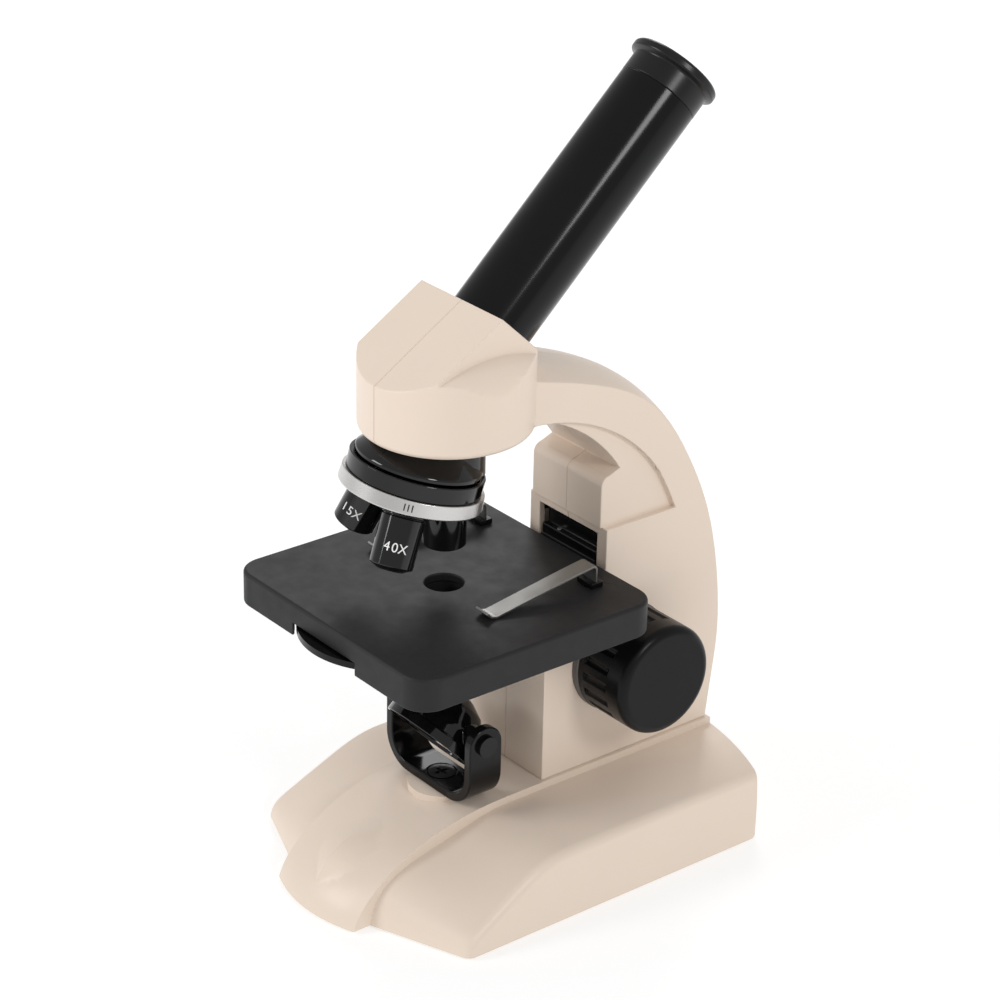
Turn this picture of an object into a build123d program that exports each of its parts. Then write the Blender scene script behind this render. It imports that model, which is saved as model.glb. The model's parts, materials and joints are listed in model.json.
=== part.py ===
"""A student microscope: base, split arm, focusing stage, turret, eyepiece and swivelling lamp.

The optical axis is vertical. Y runs back towards the arm, X to the right-hand knob and Z up.
Lengths given as y are counted from the optical axis, which stands OPTIC_Y from the origin.
"""

from build123d import *
from math import cos, pi, radians, sin, tan
import os

os.makedirs("parts", exist_ok=True)

# ---------------------------------------------------------------- driving dimensions, in mm
OPTIC_Y = -25.44  # the optical axis, ahead of the middle of the footprint

# base
BASE_HALF = 55.7
BASE_BACK = 101.6
BASE_CORNER = 93.0
TONGUE_HALF = 20.8
TONGUE_TOP = 29.1
WING_INNER_TOP = 26.6
WING_OUTER_TOP = 21.8
SIDE_DRAFT = 9.5
EDGE_ROUND = 4.0
BOSS_R = 11.2
BOSS_TOP = 29.6
BASE_WALL = 2.4
FOOT_HEIGHT = 0.9
PLATE_T = 2.0

# arm, column and head
ARM_HALF = 19.6
CORE_HALF = 17.4
ARM_WALL = 2.4
CROWN = 3.6
COLUMN_FRONT = 26.7
BLOCK_TOP = 74.0
UPPER_FRONT = 51.3
LEDGE_Z = 113.8
HEAD_R = 28.0
HEAD_BOTTOM = 157.8
HEAD_SHOULDER = [(20.5, 0), (23.2, 1.4), (25.8, 4.6), (27.6, 9.0), (28.6, 15.0)]  # distance out, drop
SEAM_GAP = 0.05

# eyepiece tube
TUBE_LEAN = 46.8  # from the vertical
TUBE_Y = 24.1
TUBE_Z = 195.1
TUBE_R = 13.6
TUBE_IN = -19.0
TUBE_OUT = 80.0
CAP_END = 90.8
EYEPIECE_R = 11.6
RUNNING = 0.05

# turret
TURRET_LEAN = 15.0
TURRET_YAW = 12.5
APEX_Z = 182.2
APEX_TO_RING = 47.0
RING_R = 23.4
RING_H = 4.9
OBJECTIVE_R = 7.0
OBJECTIVE_LENGTHS = {"low": 18.0, "medium": 19.0, "high": 21.0}
OBJECTIVE_TURNS = {"low": 0.0, "medium": -120.0, "high": 120.0}

# stage
STAGE_HALF = 50.0
STAGE_FRONT = -47.6
STAGE_BACK = 47.9
STAGE_TOP = 102.6
STAGE_SKIRT = 11.3
STAGE_T = 3.0
STAGE_CORNER = 9.0
STAGE_HOLE_R = 6.4
DISC_R = 29.3
DISC_Y = -22.0
DISC_Z = 93.0
DISC_T = 2.2
CLIP_X = 28.5
CLIP_Y = 37.0
CLIP_TURN = -2.5

# focusing drive
SHAFT_Y = 57.5
SHAFT_Z = 67.0
SHAFT_R = 3.0
KNOB_R = 19.0
KNOB_IN = 22.6
KNOB_OUT = 44.6
FLUTES = 20
MODULE = 0.8
PINION_TEETH = 12
ROD_X = 10.0
ROD_Y = 65.5
ROD_R = 3.0
CARRIAGE_HALF = 13.8
CARRIAGE_LOW = 86.0
CARRIAGE_HIGH = 117.0
NECK_LOW = 88.0
NECK_HIGH = 100.0
BUSH_R = 5.0
RACK_LOW = 54.0

# lamp and mirror
FORK_HALF = 22.5
FORK_WIDTH = 13.0
FORK_T = 3.2
FORK_CORNER = 11.5
LAMP_Y = 0.5
LAMP_Z = 52.5
LAMP_LEAN = 47.0
BEZEL_R = 16.8


# ---------------------------------------------------------------- working planes
def flat(z):
    """A level plane at height z, centred on the optical axis."""
    return Plane(origin=(0, OPTIC_Y, z))


def upright(x):
    """A plane across X at x: its first axis runs back along Y, its second one up."""
    return Plane(origin=(x, OPTIC_Y, 0), x_dir=(0, 1, 0), z_dir=(1, 0, 0))


def facing(y):
    """A plane across Y at y: its first axis runs along X, its second one up, normal to the front."""
    return Plane(origin=(0, OPTIC_Y + y, 0), x_dir=(1, 0, 0), z_dir=(0, -1, 0))


def along_tube(distance):
    """A plane square to the eyepiece tube, at a distance up the tube."""
    lean = radians(TUBE_LEAN)
    y = TUBE_Y + distance * sin(lean)
    z = TUBE_Z + distance * cos(lean)
    return Plane(origin=(0, OPTIC_Y + y, z), x_dir=(1, 0, 0), z_dir=(0, sin(lean), cos(lean)))


def turret_axis():
    """The turret's axis, pointing up."""
    lean = radians(TURRET_LEAN)
    yaw = radians(TURRET_YAW)
    return Vector(sin(lean) * sin(yaw), sin(lean) * cos(yaw), cos(lean))


def turret_plane(height):
    """A plane square to the turret's axis, at a height above the underside of the bright ring."""
    axis = turret_axis()
    apex = Vector(0, OPTIC_Y, APEX_Z)
    origin = apex - axis * (APEX_TO_RING - height)
    across = Vector(0, 0, 1).cross(axis).normalized()
    return Plane(origin=origin, x_dir=across, z_dir=axis)


def objective_plane(turn):
    """The plane at an objective's shoulder: its normal points down the objective."""
    axis = turret_axis()
    apex = Vector(0, OPTIC_Y, APEX_Z)
    down = Vector(0, 0, -1).rotate(Axis((0, 0, 0), tuple(axis)), -turn)
    origin = apex + down * (APEX_TO_RING / cos(radians(TURRET_LEAN)))
    return Plane(origin=origin, x_dir=axis.cross(down).normalized(), z_dir=down)


def lamp_plane(height):
    """A plane square to the lamp's axis, at a height from its pivots towards the lens."""
    lean = radians(LAMP_LEAN)
    normal = Vector(0, sin(lean), cos(lean))
    origin = Vector(0, OPTIC_Y + LAMP_Y, LAMP_Z) + normal * height
    return Plane(origin=origin, x_dir=(1, 0, 0), z_dir=normal)


def turned(plane, points):
    """A solid of revolution about a plane's normal, from (radius, height) corners."""
    section = Plane(origin=plane.origin, x_dir=plane.x_dir, z_dir=-plane.y_dir)
    with BuildPart() as solid:
        with BuildSketch(section):
            with BuildLine():
                Polyline(*points, close=True)
            make_face()
        revolve(axis=Axis(plane.origin, plane.z_dir))
    return solid.part


def screw(plane, head_r, head_h, shank_r, length, drive_r=0.0):
    """A pan-head screw: the plane is at the head's seat, its normal points down the shank."""
    drive = drive_r or head_r * 0.5
    with BuildPart() as solid:
        with BuildSketch(plane):
            Circle(head_r)
        extrude(amount=-head_h)
        with BuildSketch(plane):
            Circle(shank_r)
        extrude(amount=length)
        with BuildSketch(plane.offset(-head_h)):
            Rectangle(drive * 2, drive * 0.5)
            Rectangle(drive * 0.5, drive * 2)
        extrude(amount=head_h * 0.5, mode=Mode.SUBTRACT)
    return solid.part


# ---------------------------------------------------------------- base
def wing_section(x, inset, floor):
    """The wing's outline at a distance x from the middle, inset by a wall where one is asked for."""
    share = x / BASE_HALF
    top = WING_INNER_TOP + (WING_OUTER_TOP - WING_INNER_TOP) * share ** 4 - inset
    nose = -52.5 + 21.5 * share + inset
    shoulder = (12, top)
    upper = (-20 + 11 * share + inset, 24.2 - 7.8 * share - inset)
    lower = (-45 + 22 * share + inset, 17.5 - 8.5 * share - inset * 0.6)
    with BuildSketch(upright(x)) as outline:
        with BuildLine():
            Polyline((nose, floor), (BASE_BACK + 4, floor), (BASE_BACK + 4, top), shoulder)
            Spline(shoulder, upper, lower, (nose, floor), tangents=[(-1, 0), (-0.1, -1)])
        make_face()
    return outline.sketch


def tongue_section(x, inset, floor):
    """The middle ridge's outline at x: its nose runs back a little towards the sides."""
    back = 4.3 * (x / TONGUE_HALF) ** 2 + inset
    top = TONGUE_TOP - inset
    shoulder = (14, top)
    rear = (BASE_BACK + 0.4 - inset, top - 4)
    upper = (-14 + inset, 26.4 - inset)
    middle = (-36 + 0.6 * back, 19.2 - inset)
    lower = (-50 + back, 9.8 - inset * 0.5)
    with BuildSketch(upright(x)) as outline:
        with BuildLine():
            Polyline((-55.4 + back, floor), (BASE_BACK + 4, floor), (BASE_BACK + 4, top - 6), rear)
            ThreePointArc(rear, (101.2 - inset, top - 1), (98.9 - inset, top))
            Line((98.9 - inset, top), shoulder)
            Spline(shoulder, upper, middle, lower, (-55.4 + back, floor), tangents=[(-1, 0), (-0.35, -1)])
        make_face()
    return outline.sketch


def footprint(inset, floor):
    """The base's plan: straight sides, a gently bowed back, and open towards the front."""
    half = BASE_HALF - inset
    corner = BASE_CORNER - inset
    with BuildPart() as block:
        with BuildSketch(flat(floor)) as plan:
            with BuildLine():
                Polyline((half, corner), (half, -70), (-half, -70), (-half, corner))
                ThreePointArc((-half, corner), (0, BASE_BACK - inset), (half, corner))
            make_face()
            fillet(plan.vertices().sort_by(Axis.Y)[-2:], 6 - inset)
        extrude(amount=60)
    return block.part


def base_form(inset, floor):
    """The base's solid outer form, or the hollow inside it when inset by a wall."""
    half = BASE_HALF - inset
    lean = 60 * tan(radians(SIDE_DRAFT))
    with BuildPart() as wings:
        for share in (0, 0.35, 0.65, 0.85, 1.02):
            add(wing_section(share * BASE_HALF, inset, floor))
        loft()
        mirror(about=Plane.YZ)
        add(footprint(inset, floor), mode=Mode.INTERSECT)
        with BuildSketch(facing(-80)):
            Polygon((-half, 0), (half, 0), (half - lean, 60), (lean - half, 60), align=None)
        extrude(amount=-200, mode=Mode.INTERSECT)
        if inset == 0:
            long_edges = wings.edges().filter_by(lambda edge: edge.length > 60)
            fillet([edge for edge in long_edges if edge.center().Z > 15 and abs(edge.center().X) > 40], EDGE_ROUND)
    with BuildPart() as tongue:
        for share in (-1, -0.5, 0, 0.5, 1):
            add(tongue_section(share * (TONGUE_HALF - inset), inset, floor))
        loft()
        add(footprint(inset, floor), mode=Mode.INTERSECT)
    with BuildPart() as whole:
        add(wings.part)
        add(tongue.part)
    return whole.part


BASE_POSTS = [(-44, -10), (44, -10), (-44, 70), (44, 70)]
COLUMN_POSTS = [(-12.5, 36), (12.5, 36), (-12.5, 88), (12.5, 88)]
FOOT_PLACES = [(-43, -21), (43, -21), (-45, 82), (45, 82)]
FOOT_R = 5.0
DOOR_X = 52.0
DOOR_LENGTH = 66.0
DOOR_Y = 62.0
DOOR_SCREW_Y = 91.6

# battery tray and switch
CELL_R = 7.1
CELL_LENGTH = 50.5
CELL_PITCH = 15.2
TRAY_X = 50.0
TRAY_LENGTH = 58.0
TRAY_Y = 62.0
TRAY_FLOOR = 3.2
SWITCH_X = -36.0
SWITCH_Z = 12.0
SWITCH_FACE = 98.8

# turret details
RING_TOP = 10.4
PIVOT_R = 2.5
THREAD_R = 5.5
OBJECTIVE_BORE = 3.5
CUP_LOW = [(0, -1), (20.5, -1), (21.5, 0), (21.5, RING_H), (22, RING_H), (22, RING_TOP)]
DISC_PROFILE = CUP_LOW + [(20.4, RING_TOP), (20.4, 2.5), (0, 2.5)]

# prism, eyepiece and carriage details
PRISM_HALF = 12.0
BARREL_END = 46.0
CARRIAGE_FRONT = 54.3
CARRIAGE_BACK = 70.0
RACK_SEAT = 61.0
RACK_HIGH = 97.0
RACK_SCREWS = [(0, 89.5), (0, 94.0)]
BRACKET_SCREWS = [(-9, 94), (9, 94)]
CLIP_POST_R = 2.5

# slot for the carriage
SLOT_HALF = 14.7
SLOT_LOW = 77.0
SLOT_HIGH = 111.0

with BuildPart() as base_shell:
    add(base_form(0, FOOT_HEIGHT))
    with BuildSketch(flat(20)):
        Circle(BOSS_R)
    extrude(amount=BOSS_TOP - 20)
    add(base_form(BASE_WALL, FOOT_HEIGHT - 1), mode=Mode.SUBTRACT)
    with BuildSketch(flat(FOOT_HEIGHT + PLATE_T)):
        with Locations(*BASE_POSTS):
            Circle(4)
    extrude(until=Until.NEXT)
    with BuildSketch(flat(FOOT_HEIGHT + PLATE_T)):
        with Locations(*BASE_POSTS):
            Circle(1.25)
    extrude(amount=9, mode=Mode.SUBTRACT)
    with BuildSketch(flat(TONGUE_TOP - 7)):
        with Locations(*COLUMN_POSTS):
            Circle(2.2)
        Circle(2.6)
    extrude(amount=12, mode=Mode.SUBTRACT)
    with BuildSketch(flat(BOSS_TOP - 7)):
        Circle(6)
        Circle(2.6, mode=Mode.SUBTRACT)
    extrude(amount=5)
    # the switch's window and the pocket its flange slides in
    with BuildSketch(facing(SWITCH_FACE + 2)):
        with Locations((SWITCH_X, SWITCH_Z)):
            Rectangle(12, 3.6)
    extrude(amount=9, mode=Mode.SUBTRACT)
base_shell.part.label = "base_shell"
export_step(base_shell.part, "parts/base_shell.step")


with BuildPart() as base_plate:
    add(base_form(BASE_WALL + 0.25, FOOT_HEIGHT - 1))
    with BuildSketch(flat(FOOT_HEIGHT)):
        Rectangle(300, 300)
    extrude(amount=PLATE_T, mode=Mode.INTERSECT)
    with BuildSketch(flat(0)):
        with Locations(*BASE_POSTS):
            Circle(1.6)
        with Locations((0, DOOR_Y)):
            Rectangle(DOOR_X, DOOR_LENGTH)
        with Locations(*FOOT_PLACES):
            Circle(FOOT_R)
    extrude(amount=10, mode=Mode.SUBTRACT)
    with BuildSketch(flat(0)):
        with Locations(*BASE_POSTS):
            Circle(2.8)
    extrude(amount=FOOT_HEIGHT + 0.6, mode=Mode.SUBTRACT)
    with BuildSketch(flat(FOOT_HEIGHT + 0.9)):
        with Locations(*FOOT_PLACES):
            Circle(FOOT_R + 1)
    extrude(amount=PLATE_T - 0.9)
base_plate.part.label = "base_plate"
export_step(base_plate.part, "parts/base_plate.step")

with BuildPart() as base_feet:
    with BuildSketch(flat(0)):
        with Locations(*FOOT_PLACES):
            Circle(FOOT_R - 0.1)
    extrude(amount=FOOT_HEIGHT + 0.9)
base_feet.part.label = "base_feet"
export_step(base_feet.part, "parts/base_feet.step")

with BuildPart() as base_plate_screws:
    for x, y in BASE_POSTS:
        seat = Plane(origin=(x, OPTIC_Y + y, FOOT_HEIGHT + 0.6), x_dir=(1, 0, 0), z_dir=(0, 0, 1))
        add(screw(seat, 2.6, 0.6, 1.25, 9))
base_plate_screws.part.label = "base_plate_screws"
export_step(base_plate_screws.part, "parts/base_plate_screws.step")

with BuildPart() as battery_door:
    with BuildSketch(flat(FOOT_HEIGHT)):
        with Locations((0, DOOR_Y)):
            RectangleRounded(DOOR_X - 0.4, DOOR_LENGTH - 0.4, 1.5)
    extrude(amount=PLATE_T)
    with BuildSketch(flat(0)):
        with Locations((0, DOOR_SCREW_Y)):
            Circle(1.4)
    extrude(amount=10, mode=Mode.SUBTRACT)
battery_door.part.label = "battery_door"
export_step(battery_door.part, "parts/battery_door.step")

with BuildPart() as battery_door_screw:
    seat = Plane(origin=(0, OPTIC_Y + DOOR_SCREW_Y, FOOT_HEIGHT), z_dir=(0, 0, 1))
    add(screw(seat, 2.4, 0.5, 1.3, 7))
battery_door_screw.part.label = "battery_door_screw"
export_step(battery_door_screw.part, "parts/battery_door_screw.step")
with BuildPart() as battery_tray:
    with BuildSketch(flat(TRAY_FLOOR)):
        with Locations((0, TRAY_Y)):
            Rectangle(TRAY_X, TRAY_LENGTH)
    extrude(amount=CELL_R * 2 + 2.2)
    with BuildSketch(flat(TRAY_FLOOR)):
        with Locations((0, TRAY_Y)):
            Rectangle(TRAY_X - 3, TRAY_LENGTH - 3)
    extrude(amount=CELL_R * 2 + 0.6, mode=Mode.SUBTRACT)
    with BuildSketch(flat(TRAY_FLOOR)):
        with Locations((-CELL_PITCH / 2, TRAY_Y), (CELL_PITCH / 2, TRAY_Y)):
            Rectangle(0.8, TRAY_LENGTH - 2)
    extrude(amount=CELL_R)
    with BuildSketch(flat(TRAY_FLOOR)):
        with Locations((0, DOOR_SCREW_Y)):
            Rectangle(8, 4.2)
    extrude(amount=9)
    with BuildSketch(flat(TRAY_FLOOR)):
        with Locations((0, DOOR_SCREW_Y)):
            Circle(1.3)
    extrude(amount=6, mode=Mode.SUBTRACT)
battery_tray.part.label = "battery_tray"
export_step(battery_tray.part, "parts/battery_tray.step")

with BuildPart() as batteries:
    for column in (-1, 0, 1):
        middle = facing(TRAY_Y - CELL_LENGTH / 2)
        with BuildSketch(middle):
            with Locations((column * CELL_PITCH, TRAY_FLOOR + 0.2 + CELL_R)):
                Circle(CELL_R)
        extrude(amount=-(CELL_LENGTH - 1))
        with BuildSketch(middle.offset(-(CELL_LENGTH - 1))):
            with Locations((column * CELL_PITCH, TRAY_FLOOR + 0.2 + CELL_R)):
                Circle(2.7)
        extrude(amount=-1)
batteries.part.label = "batteries"
export_step(batteries.part, "parts/batteries.step")

with BuildPart() as battery_contacts:
    for column in (-1, 0, 1):
        for y, inwards in ((TRAY_Y - TRAY_LENGTH / 2 + 1.5, -1), (TRAY_Y + TRAY_LENGTH / 2 - 1.5, 1)):
            with BuildSketch(facing(y)):
                with Locations((column * CELL_PITCH, TRAY_FLOOR + 0.2 + CELL_R)):
                    Rectangle(9, 9)
            extrude(amount=0.4 * inwards)
battery_contacts.part.label = "battery_contacts"
export_step(battery_contacts.part, "parts/battery_contacts.step")

with BuildPart() as lamp_switch:
    with BuildSketch(facing(SWITCH_FACE)):
        with Locations((SWITCH_X, SWITCH_Z)):
            Rectangle(5.6, 3.2)
    extrude(amount=7)
    with BuildSketch(facing(SWITCH_FACE - 7)):
        with Locations((SWITCH_X, SWITCH_Z)):
            Rectangle(16, 6)
    extrude(amount=1.2)
lamp_switch.part.label = "lamp_switch"
export_step(lamp_switch.part, "parts/lamp_switch.step")


# ---------------------------------------------------------------- arm, column and head
ARM_EDGE = [(19, 174.2), (46, 166.3), (68, 154.6), (85.4, 131.5), (97, 104), (102.6, 68), (98.9, TONGUE_TOP)]
ARM_SLOPES = [(0.97, -0.24), (-0.13, -1)]
GROOVE_CENTRE = (15.6, 88.7)
GROOVE_R = 70.2
UNDER_CENTRE = (5.6, 98.8)
UNDER_R = 62.7


def arm_edge(rise):
    """The arm's outer edge, moved outwards by a rise."""
    lifts = [(0.24, 0.97), (0.38, 0.93), (0.69, 0.72), (0.87, 0.49), (0.95, 0.3), (1, 0.03), (0.99, 0)]
    return [(y + rise * dy, z + rise * dz) for (y, z), (dy, dz) in zip(ARM_EDGE, lifts)]


def crown_section(x, inset):
    """A strip under the arm's outer edge at x: the edge is highest in the middle of its width."""
    rise = CROWN * (1 - (x / ARM_HALF) ** 2) - inset
    outer = arm_edge(rise)
    inner = arm_edge(-12)
    with BuildSketch(upright(x)) as strip:
        with BuildLine():
            Spline(*outer, tangents=ARM_SLOPES)
            Line(outer[-1], inner[-1])
            Spline(*inner, tangents=ARM_SLOPES)
            Line(inner[0], outer[0])
        make_face()
    return strip.sketch


def arc_point(centre, radius, z):
    """The point on an arc at a height z, on its far side along Y."""
    return (centre[0] + (radius ** 2 - (z - centre[1]) ** 2) ** 0.5, z)


def groove_arc(centre, radius, y_start, z_end):
    """An arc from a place above the middle down to a height, as three points."""
    start = (y_start, centre[1] + (radius ** 2 - (y_start - centre[0]) ** 2) ** 0.5)
    end = arc_point(centre, radius, z_end)
    middle = arc_point(centre, radius, (start[1] + end[1]) / 2)
    return start, middle, end


def band_form(half, inset):
    """The wide part: the lower column, and above the ledge only the band outside the groove."""
    start, middle, end = groove_arc(GROOVE_CENTRE, GROOVE_R + inset, 17, LEDGE_Z - inset)
    front = COLUMN_FRONT + inset
    upper_front = UPPER_FRONT + inset
    block_top = BLOCK_TOP - inset
    floor = TONGUE_TOP + inset
    edge = arm_edge(-4)
    with BuildPart() as band:
        with BuildSketch(upright(0)):
            with BuildLine():
                ThreePointArc(start, middle, end)
                Polyline(end, (upper_front, LEDGE_Z - inset), (upper_front, block_top), (front, block_top),
                         (front, floor), (edge[-1][0], floor))
                Spline((edge[-1][0], floor), *edge[-2::-1])
                Line(edge[0], start)
            make_face()
        extrude(amount=half)
    return band.part


def core_form(half, inset):
    """The narrower part inside the groove: the arm's underside and the box over the stage."""
    start, middle, end = groove_arc(UNDER_CENTRE, UNDER_R + inset, 17, 133.6 - inset)
    front = 50.2 + inset
    edge = arm_edge(-6)
    with BuildPart() as core:
        with BuildSketch(upright(0)):
            with BuildLine():
                ThreePointArc(start, middle, end)
                Line(end, (53.4, 131.9 - inset))
                ThreePointArc((53.4, 131.9 - inset), (front + 0.9, 130.8 - inset), (front, 128.4 - inset))
                Polyline((front, 128.4 - inset), (front, LEDGE_Z), (53.5, LEDGE_Z), (53.5, LEDGE_Z - 6),
                         (edge[4][0], LEDGE_Z - 6))
                Spline((edge[4][0], LEDGE_Z - 6), *edge[3::-1])
                Line(edge[0], start)
            make_face()
        extrude(amount=half)
    return core.part


def head_form(inset):
    """The head: a drum on the optical axis under a narrower block with a slope and the tube's face."""
    with BuildPart() as head:
        with BuildSketch(flat(HEAD_BOTTOM + inset)):
            Circle(HEAD_R - inset)
        extrude(amount=60)
        if inset == 0:
            fillet(head.edges().sort_by(Axis.Z)[0], 2.4)
        with BuildSketch(upright(0)):
            with BuildLine():
                Line((-40, 177.6 - 11.3 * 0.614 - inset * 1.2), (5.5 - inset * 0.2, 198.6 - inset * 1.3))
                Line((5.5 - inset * 0.2, 198.6 - inset * 1.3), (45.5, 161.1 - inset * 1.3))
                Line((45.5, 161.1 - inset * 1.3), (45.5, 140))
                Line((45.5, 140), (-40, 140))
                Line((-40, 140), (-40, 177.6 - 11.3 * 0.614 - inset * 1.2))
            make_face()
        extrude(amount=60, both=True, mode=Mode.INTERSECT)
        for x, drop in HEAD_SHOULDER:
            with BuildSketch(upright(x - inset)):
                with BuildLine():
                    ThreePointArc((-30, 175.5 - inset - drop), (2, 187 - inset - drop), (34, 176 - inset - drop))
                    Polyline((34, 176 - inset - drop), (34, 230), (-30, 230), (-30, 175.5 - inset - drop))
                make_face()
        loft(mode=Mode.SUBTRACT)
    return head.part


SHELL_SCREWS = [(86.5, 42), (90, 96), (76, 133), (40, 162), (33.5, 44), (33.5, 66)]
ROD_RIBS = [(46, 52, ARM_HALF - 1), (127, 131, CORE_HALF - 1)]
NOSE_SCREWS = [(8.5, -7.5), (8.5, 5), (-8.5, -7.5), (-8.5, 5)]


def arm_shell(side):
    """One half of the arm, split down the middle: side is 1 for the right half, -1 for the left."""
    with BuildPart() as shell:
        for x in (0, 0.5, 1):
            add(crown_section(x * ARM_HALF, 0))
        loft()
        add(band_form(ARM_HALF, 0))
        add(core_form(CORE_HALF, 0))
        add(head_form(0))
        with BuildSketch(flat(100)):
            Rectangle(100, 400, align=(Align.MAX, Align.CENTER))
        extrude(amount=120, both=True, mode=Mode.SUBTRACT)
        # the hollow inside
        add(band_form(ARM_HALF - ARM_WALL, ARM_WALL), mode=Mode.SUBTRACT)
        add(core_form(CORE_HALF - ARM_WALL, ARM_WALL), mode=Mode.SUBTRACT)
        add(head_form(ARM_WALL), mode=Mode.SUBTRACT)
        # ribs that hold the guide rods
        for low, high, reach in ROD_RIBS:
            with BuildSketch(flat(low)):
                with Locations((0, ROD_Y)):
                    Rectangle(reach, 16, align=(Align.MIN, Align.CENTER))
                with Locations((ROD_X, ROD_Y)):
                    Circle(ROD_R + 0.02, mode=Mode.SUBTRACT)
                with Locations((0, ROD_Y)):
                    Rectangle(5, 18, align=(Align.MIN, Align.CENTER), mode=Mode.SUBTRACT)
            extrude(amount=high - low)
        # posts for the screws that join the halves
        with BuildSketch(upright(SEAM_GAP)):
            with Locations(*SHELL_SCREWS):
                Circle(4.8)
        extrude(amount=ARM_HALF - 1 - SEAM_GAP)
        with BuildSketch(upright(-1)):
            with Locations(*SHELL_SCREWS):
                Circle(1.6)
        extrude(amount=11 if side > 0 else 40, mode=Mode.SUBTRACT)
        # pads that take the screws from the base
        with BuildSketch(flat(TONGUE_TOP)):
            with Locations(*[(x, y) for x, y in COLUMN_POSTS if x > 0]):
                Circle(3.6)
        extrude(amount=9)
        with BuildSketch(flat(TONGUE_TOP - 1)):
            with Locations(*[(x, y) for x, y in COLUMN_POSTS if x > 0]):
                Circle(1.5)
        extrude(amount=9, mode=Mode.SUBTRACT)
        if side < 0:
            with BuildSketch(upright(ARM_HALF - 7)):
                with Locations(*SHELL_SCREWS):
                    Circle(3.3)
            extrude(amount=40, mode=Mode.SUBTRACT)
        # the slot the stage's carriage runs in
        with BuildSketch(facing(UPPER_FRONT - 4)):
            with Locations((0, (SLOT_LOW + SLOT_HIGH) / 2)):
                Rectangle(SLOT_HALF * 2, SLOT_HIGH - SLOT_LOW)
        extrude(amount=-9, mode=Mode.SUBTRACT)
        # bores for the shaft's bush, the tube, the light and the wires
        with BuildSketch(upright(0)):
            with Locations((SHAFT_Y, SHAFT_Z)):
                Circle(BUSH_R)
        extrude(amount=60, mode=Mode.SUBTRACT)
        with BuildSketch(along_tube(TUBE_IN)):
            Circle(TUBE_R + 0.02)
        extrude(amount=100, mode=Mode.SUBTRACT)
        with BuildSketch(flat(HEAD_BOTTOM - 2)):
            Circle(6.5)
            with Locations(*NOSE_SCREWS):
                Circle(1.4)
        extrude(amount=6, mode=Mode.SUBTRACT)
        with BuildSketch(upright(-1)):
            Rectangle(600, 600)
        extrude(amount=1 + SEAM_GAP / 2, mode=Mode.SUBTRACT)
    if side > 0:
        return shell.part
    return mirror(shell.part, about=Plane.YZ)


arm_shell_right = arm_shell(1)
arm_shell_right.label = "arm_shell_right"
export_step(arm_shell_right, "parts/arm_shell_right.step")

arm_shell_left = arm_shell(-1)
arm_shell_left.label = "arm_shell_left"
export_step(arm_shell_left, "parts/arm_shell_left.step")

with BuildPart() as arm_shell_screws:
    for y, z in SHELL_SCREWS:
        seat = Plane(origin=(7 - ARM_HALF, OPTIC_Y + y, z), z_dir=(1, 0, 0))
        add(screw(seat, 3, 2.4, 1.55, 21))
arm_shell_screws.part.label = "arm_shell_screws"
export_step(arm_shell_screws.part, "parts/arm_shell_screws.step")

with BuildPart() as column_mount_screws:
    for x, y in COLUMN_POSTS:
        seat = Plane(origin=(x, OPTIC_Y + y, TONGUE_TOP - BASE_WALL), z_dir=(0, 0, 1))
        add(screw(seat, 3.4, 2, 1.45, 9.4))
column_mount_screws.part.label = "column_mount_screws"
export_step(column_mount_screws.part, "parts/column_mount_screws.step")

with BuildPart() as guide_rods:
    with BuildSketch(flat(45)):
        with Locations((-ROD_X, ROD_Y), (ROD_X, ROD_Y)):
            Circle(ROD_R)
    extrude(amount=87)
    chamfer(guide_rods.edges(), 0.4)
guide_rods.part.label = "guide_rods"
export_step(guide_rods.part, "parts/guide_rods.step")

with BuildPart() as pinion_bushes:
    for side in (-1, 1):
        with BuildSketch(upright(side * (ARM_HALF - BASE_WALL))):
            with Locations((SHAFT_Y, SHAFT_Z)):
                Circle(BUSH_R)
        extrude(amount=side * BASE_WALL)
        with BuildSketch(upright(side * (ARM_HALF - BASE_WALL))):
            with Locations((SHAFT_Y, SHAFT_Z)):
                Circle(BUSH_R + 0.9)
        extrude(amount=-side * 3)
    with BuildSketch(upright(-30)):
        with Locations((SHAFT_Y, SHAFT_Z)):
            Circle(SHAFT_R + RUNNING)
    extrude(amount=60, mode=Mode.SUBTRACT)
pinion_bushes.part.label = "pinion_bushes"
export_step(pinion_bushes.part, "parts/pinion_bushes.step")

with BuildPart() as friction_collars:
    for side in (-1, 1):
        with BuildSketch(upright(side * ARM_HALF)):
            with Locations((SHAFT_Y, SHAFT_Z)):
                Circle(KNOB_R + 0.3)
                Circle(SHAFT_R + 0.6, mode=Mode.SUBTRACT)
        extrude(amount=side * (KNOB_IN - ARM_HALF - 0.3))
friction_collars.part.label = "friction_collars"
export_step(friction_collars.part, "parts/friction_collars.step")

with BuildPart() as prism:
    with BuildSketch(upright(-PRISM_HALF)):
        Polygon((-9.5, 165), (9.5, 165), (13.5, 174.2), (2.5, 185.8), (-9.5, 178), align=None)
    extrude(amount=PRISM_HALF * 2)
prism.part.label = "prism"
export_step(prism.part, "parts/prism.step")

with BuildPart() as prism_cell:
    with BuildSketch(flat(HEAD_BOTTOM + ARM_WALL)):
        Rectangle(PRISM_HALF * 2 + 4, 22)
        Circle(6.5, mode=Mode.SUBTRACT)
        with Locations(*NOSE_SCREWS):
            Circle(1.4, mode=Mode.SUBTRACT)
    extrude(amount=2)
    for x in (-PRISM_HALF - 2, PRISM_HALF):
        with BuildSketch(upright(x)):
            Polygon((-10, 160.4), (10, 160.4), (10, 173), (2, 177), (-9, 175), align=None)
        extrude(amount=2)
prism_cell.part.label = "prism_cell"
export_step(prism_cell.part, "parts/prism_cell.step")

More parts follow.
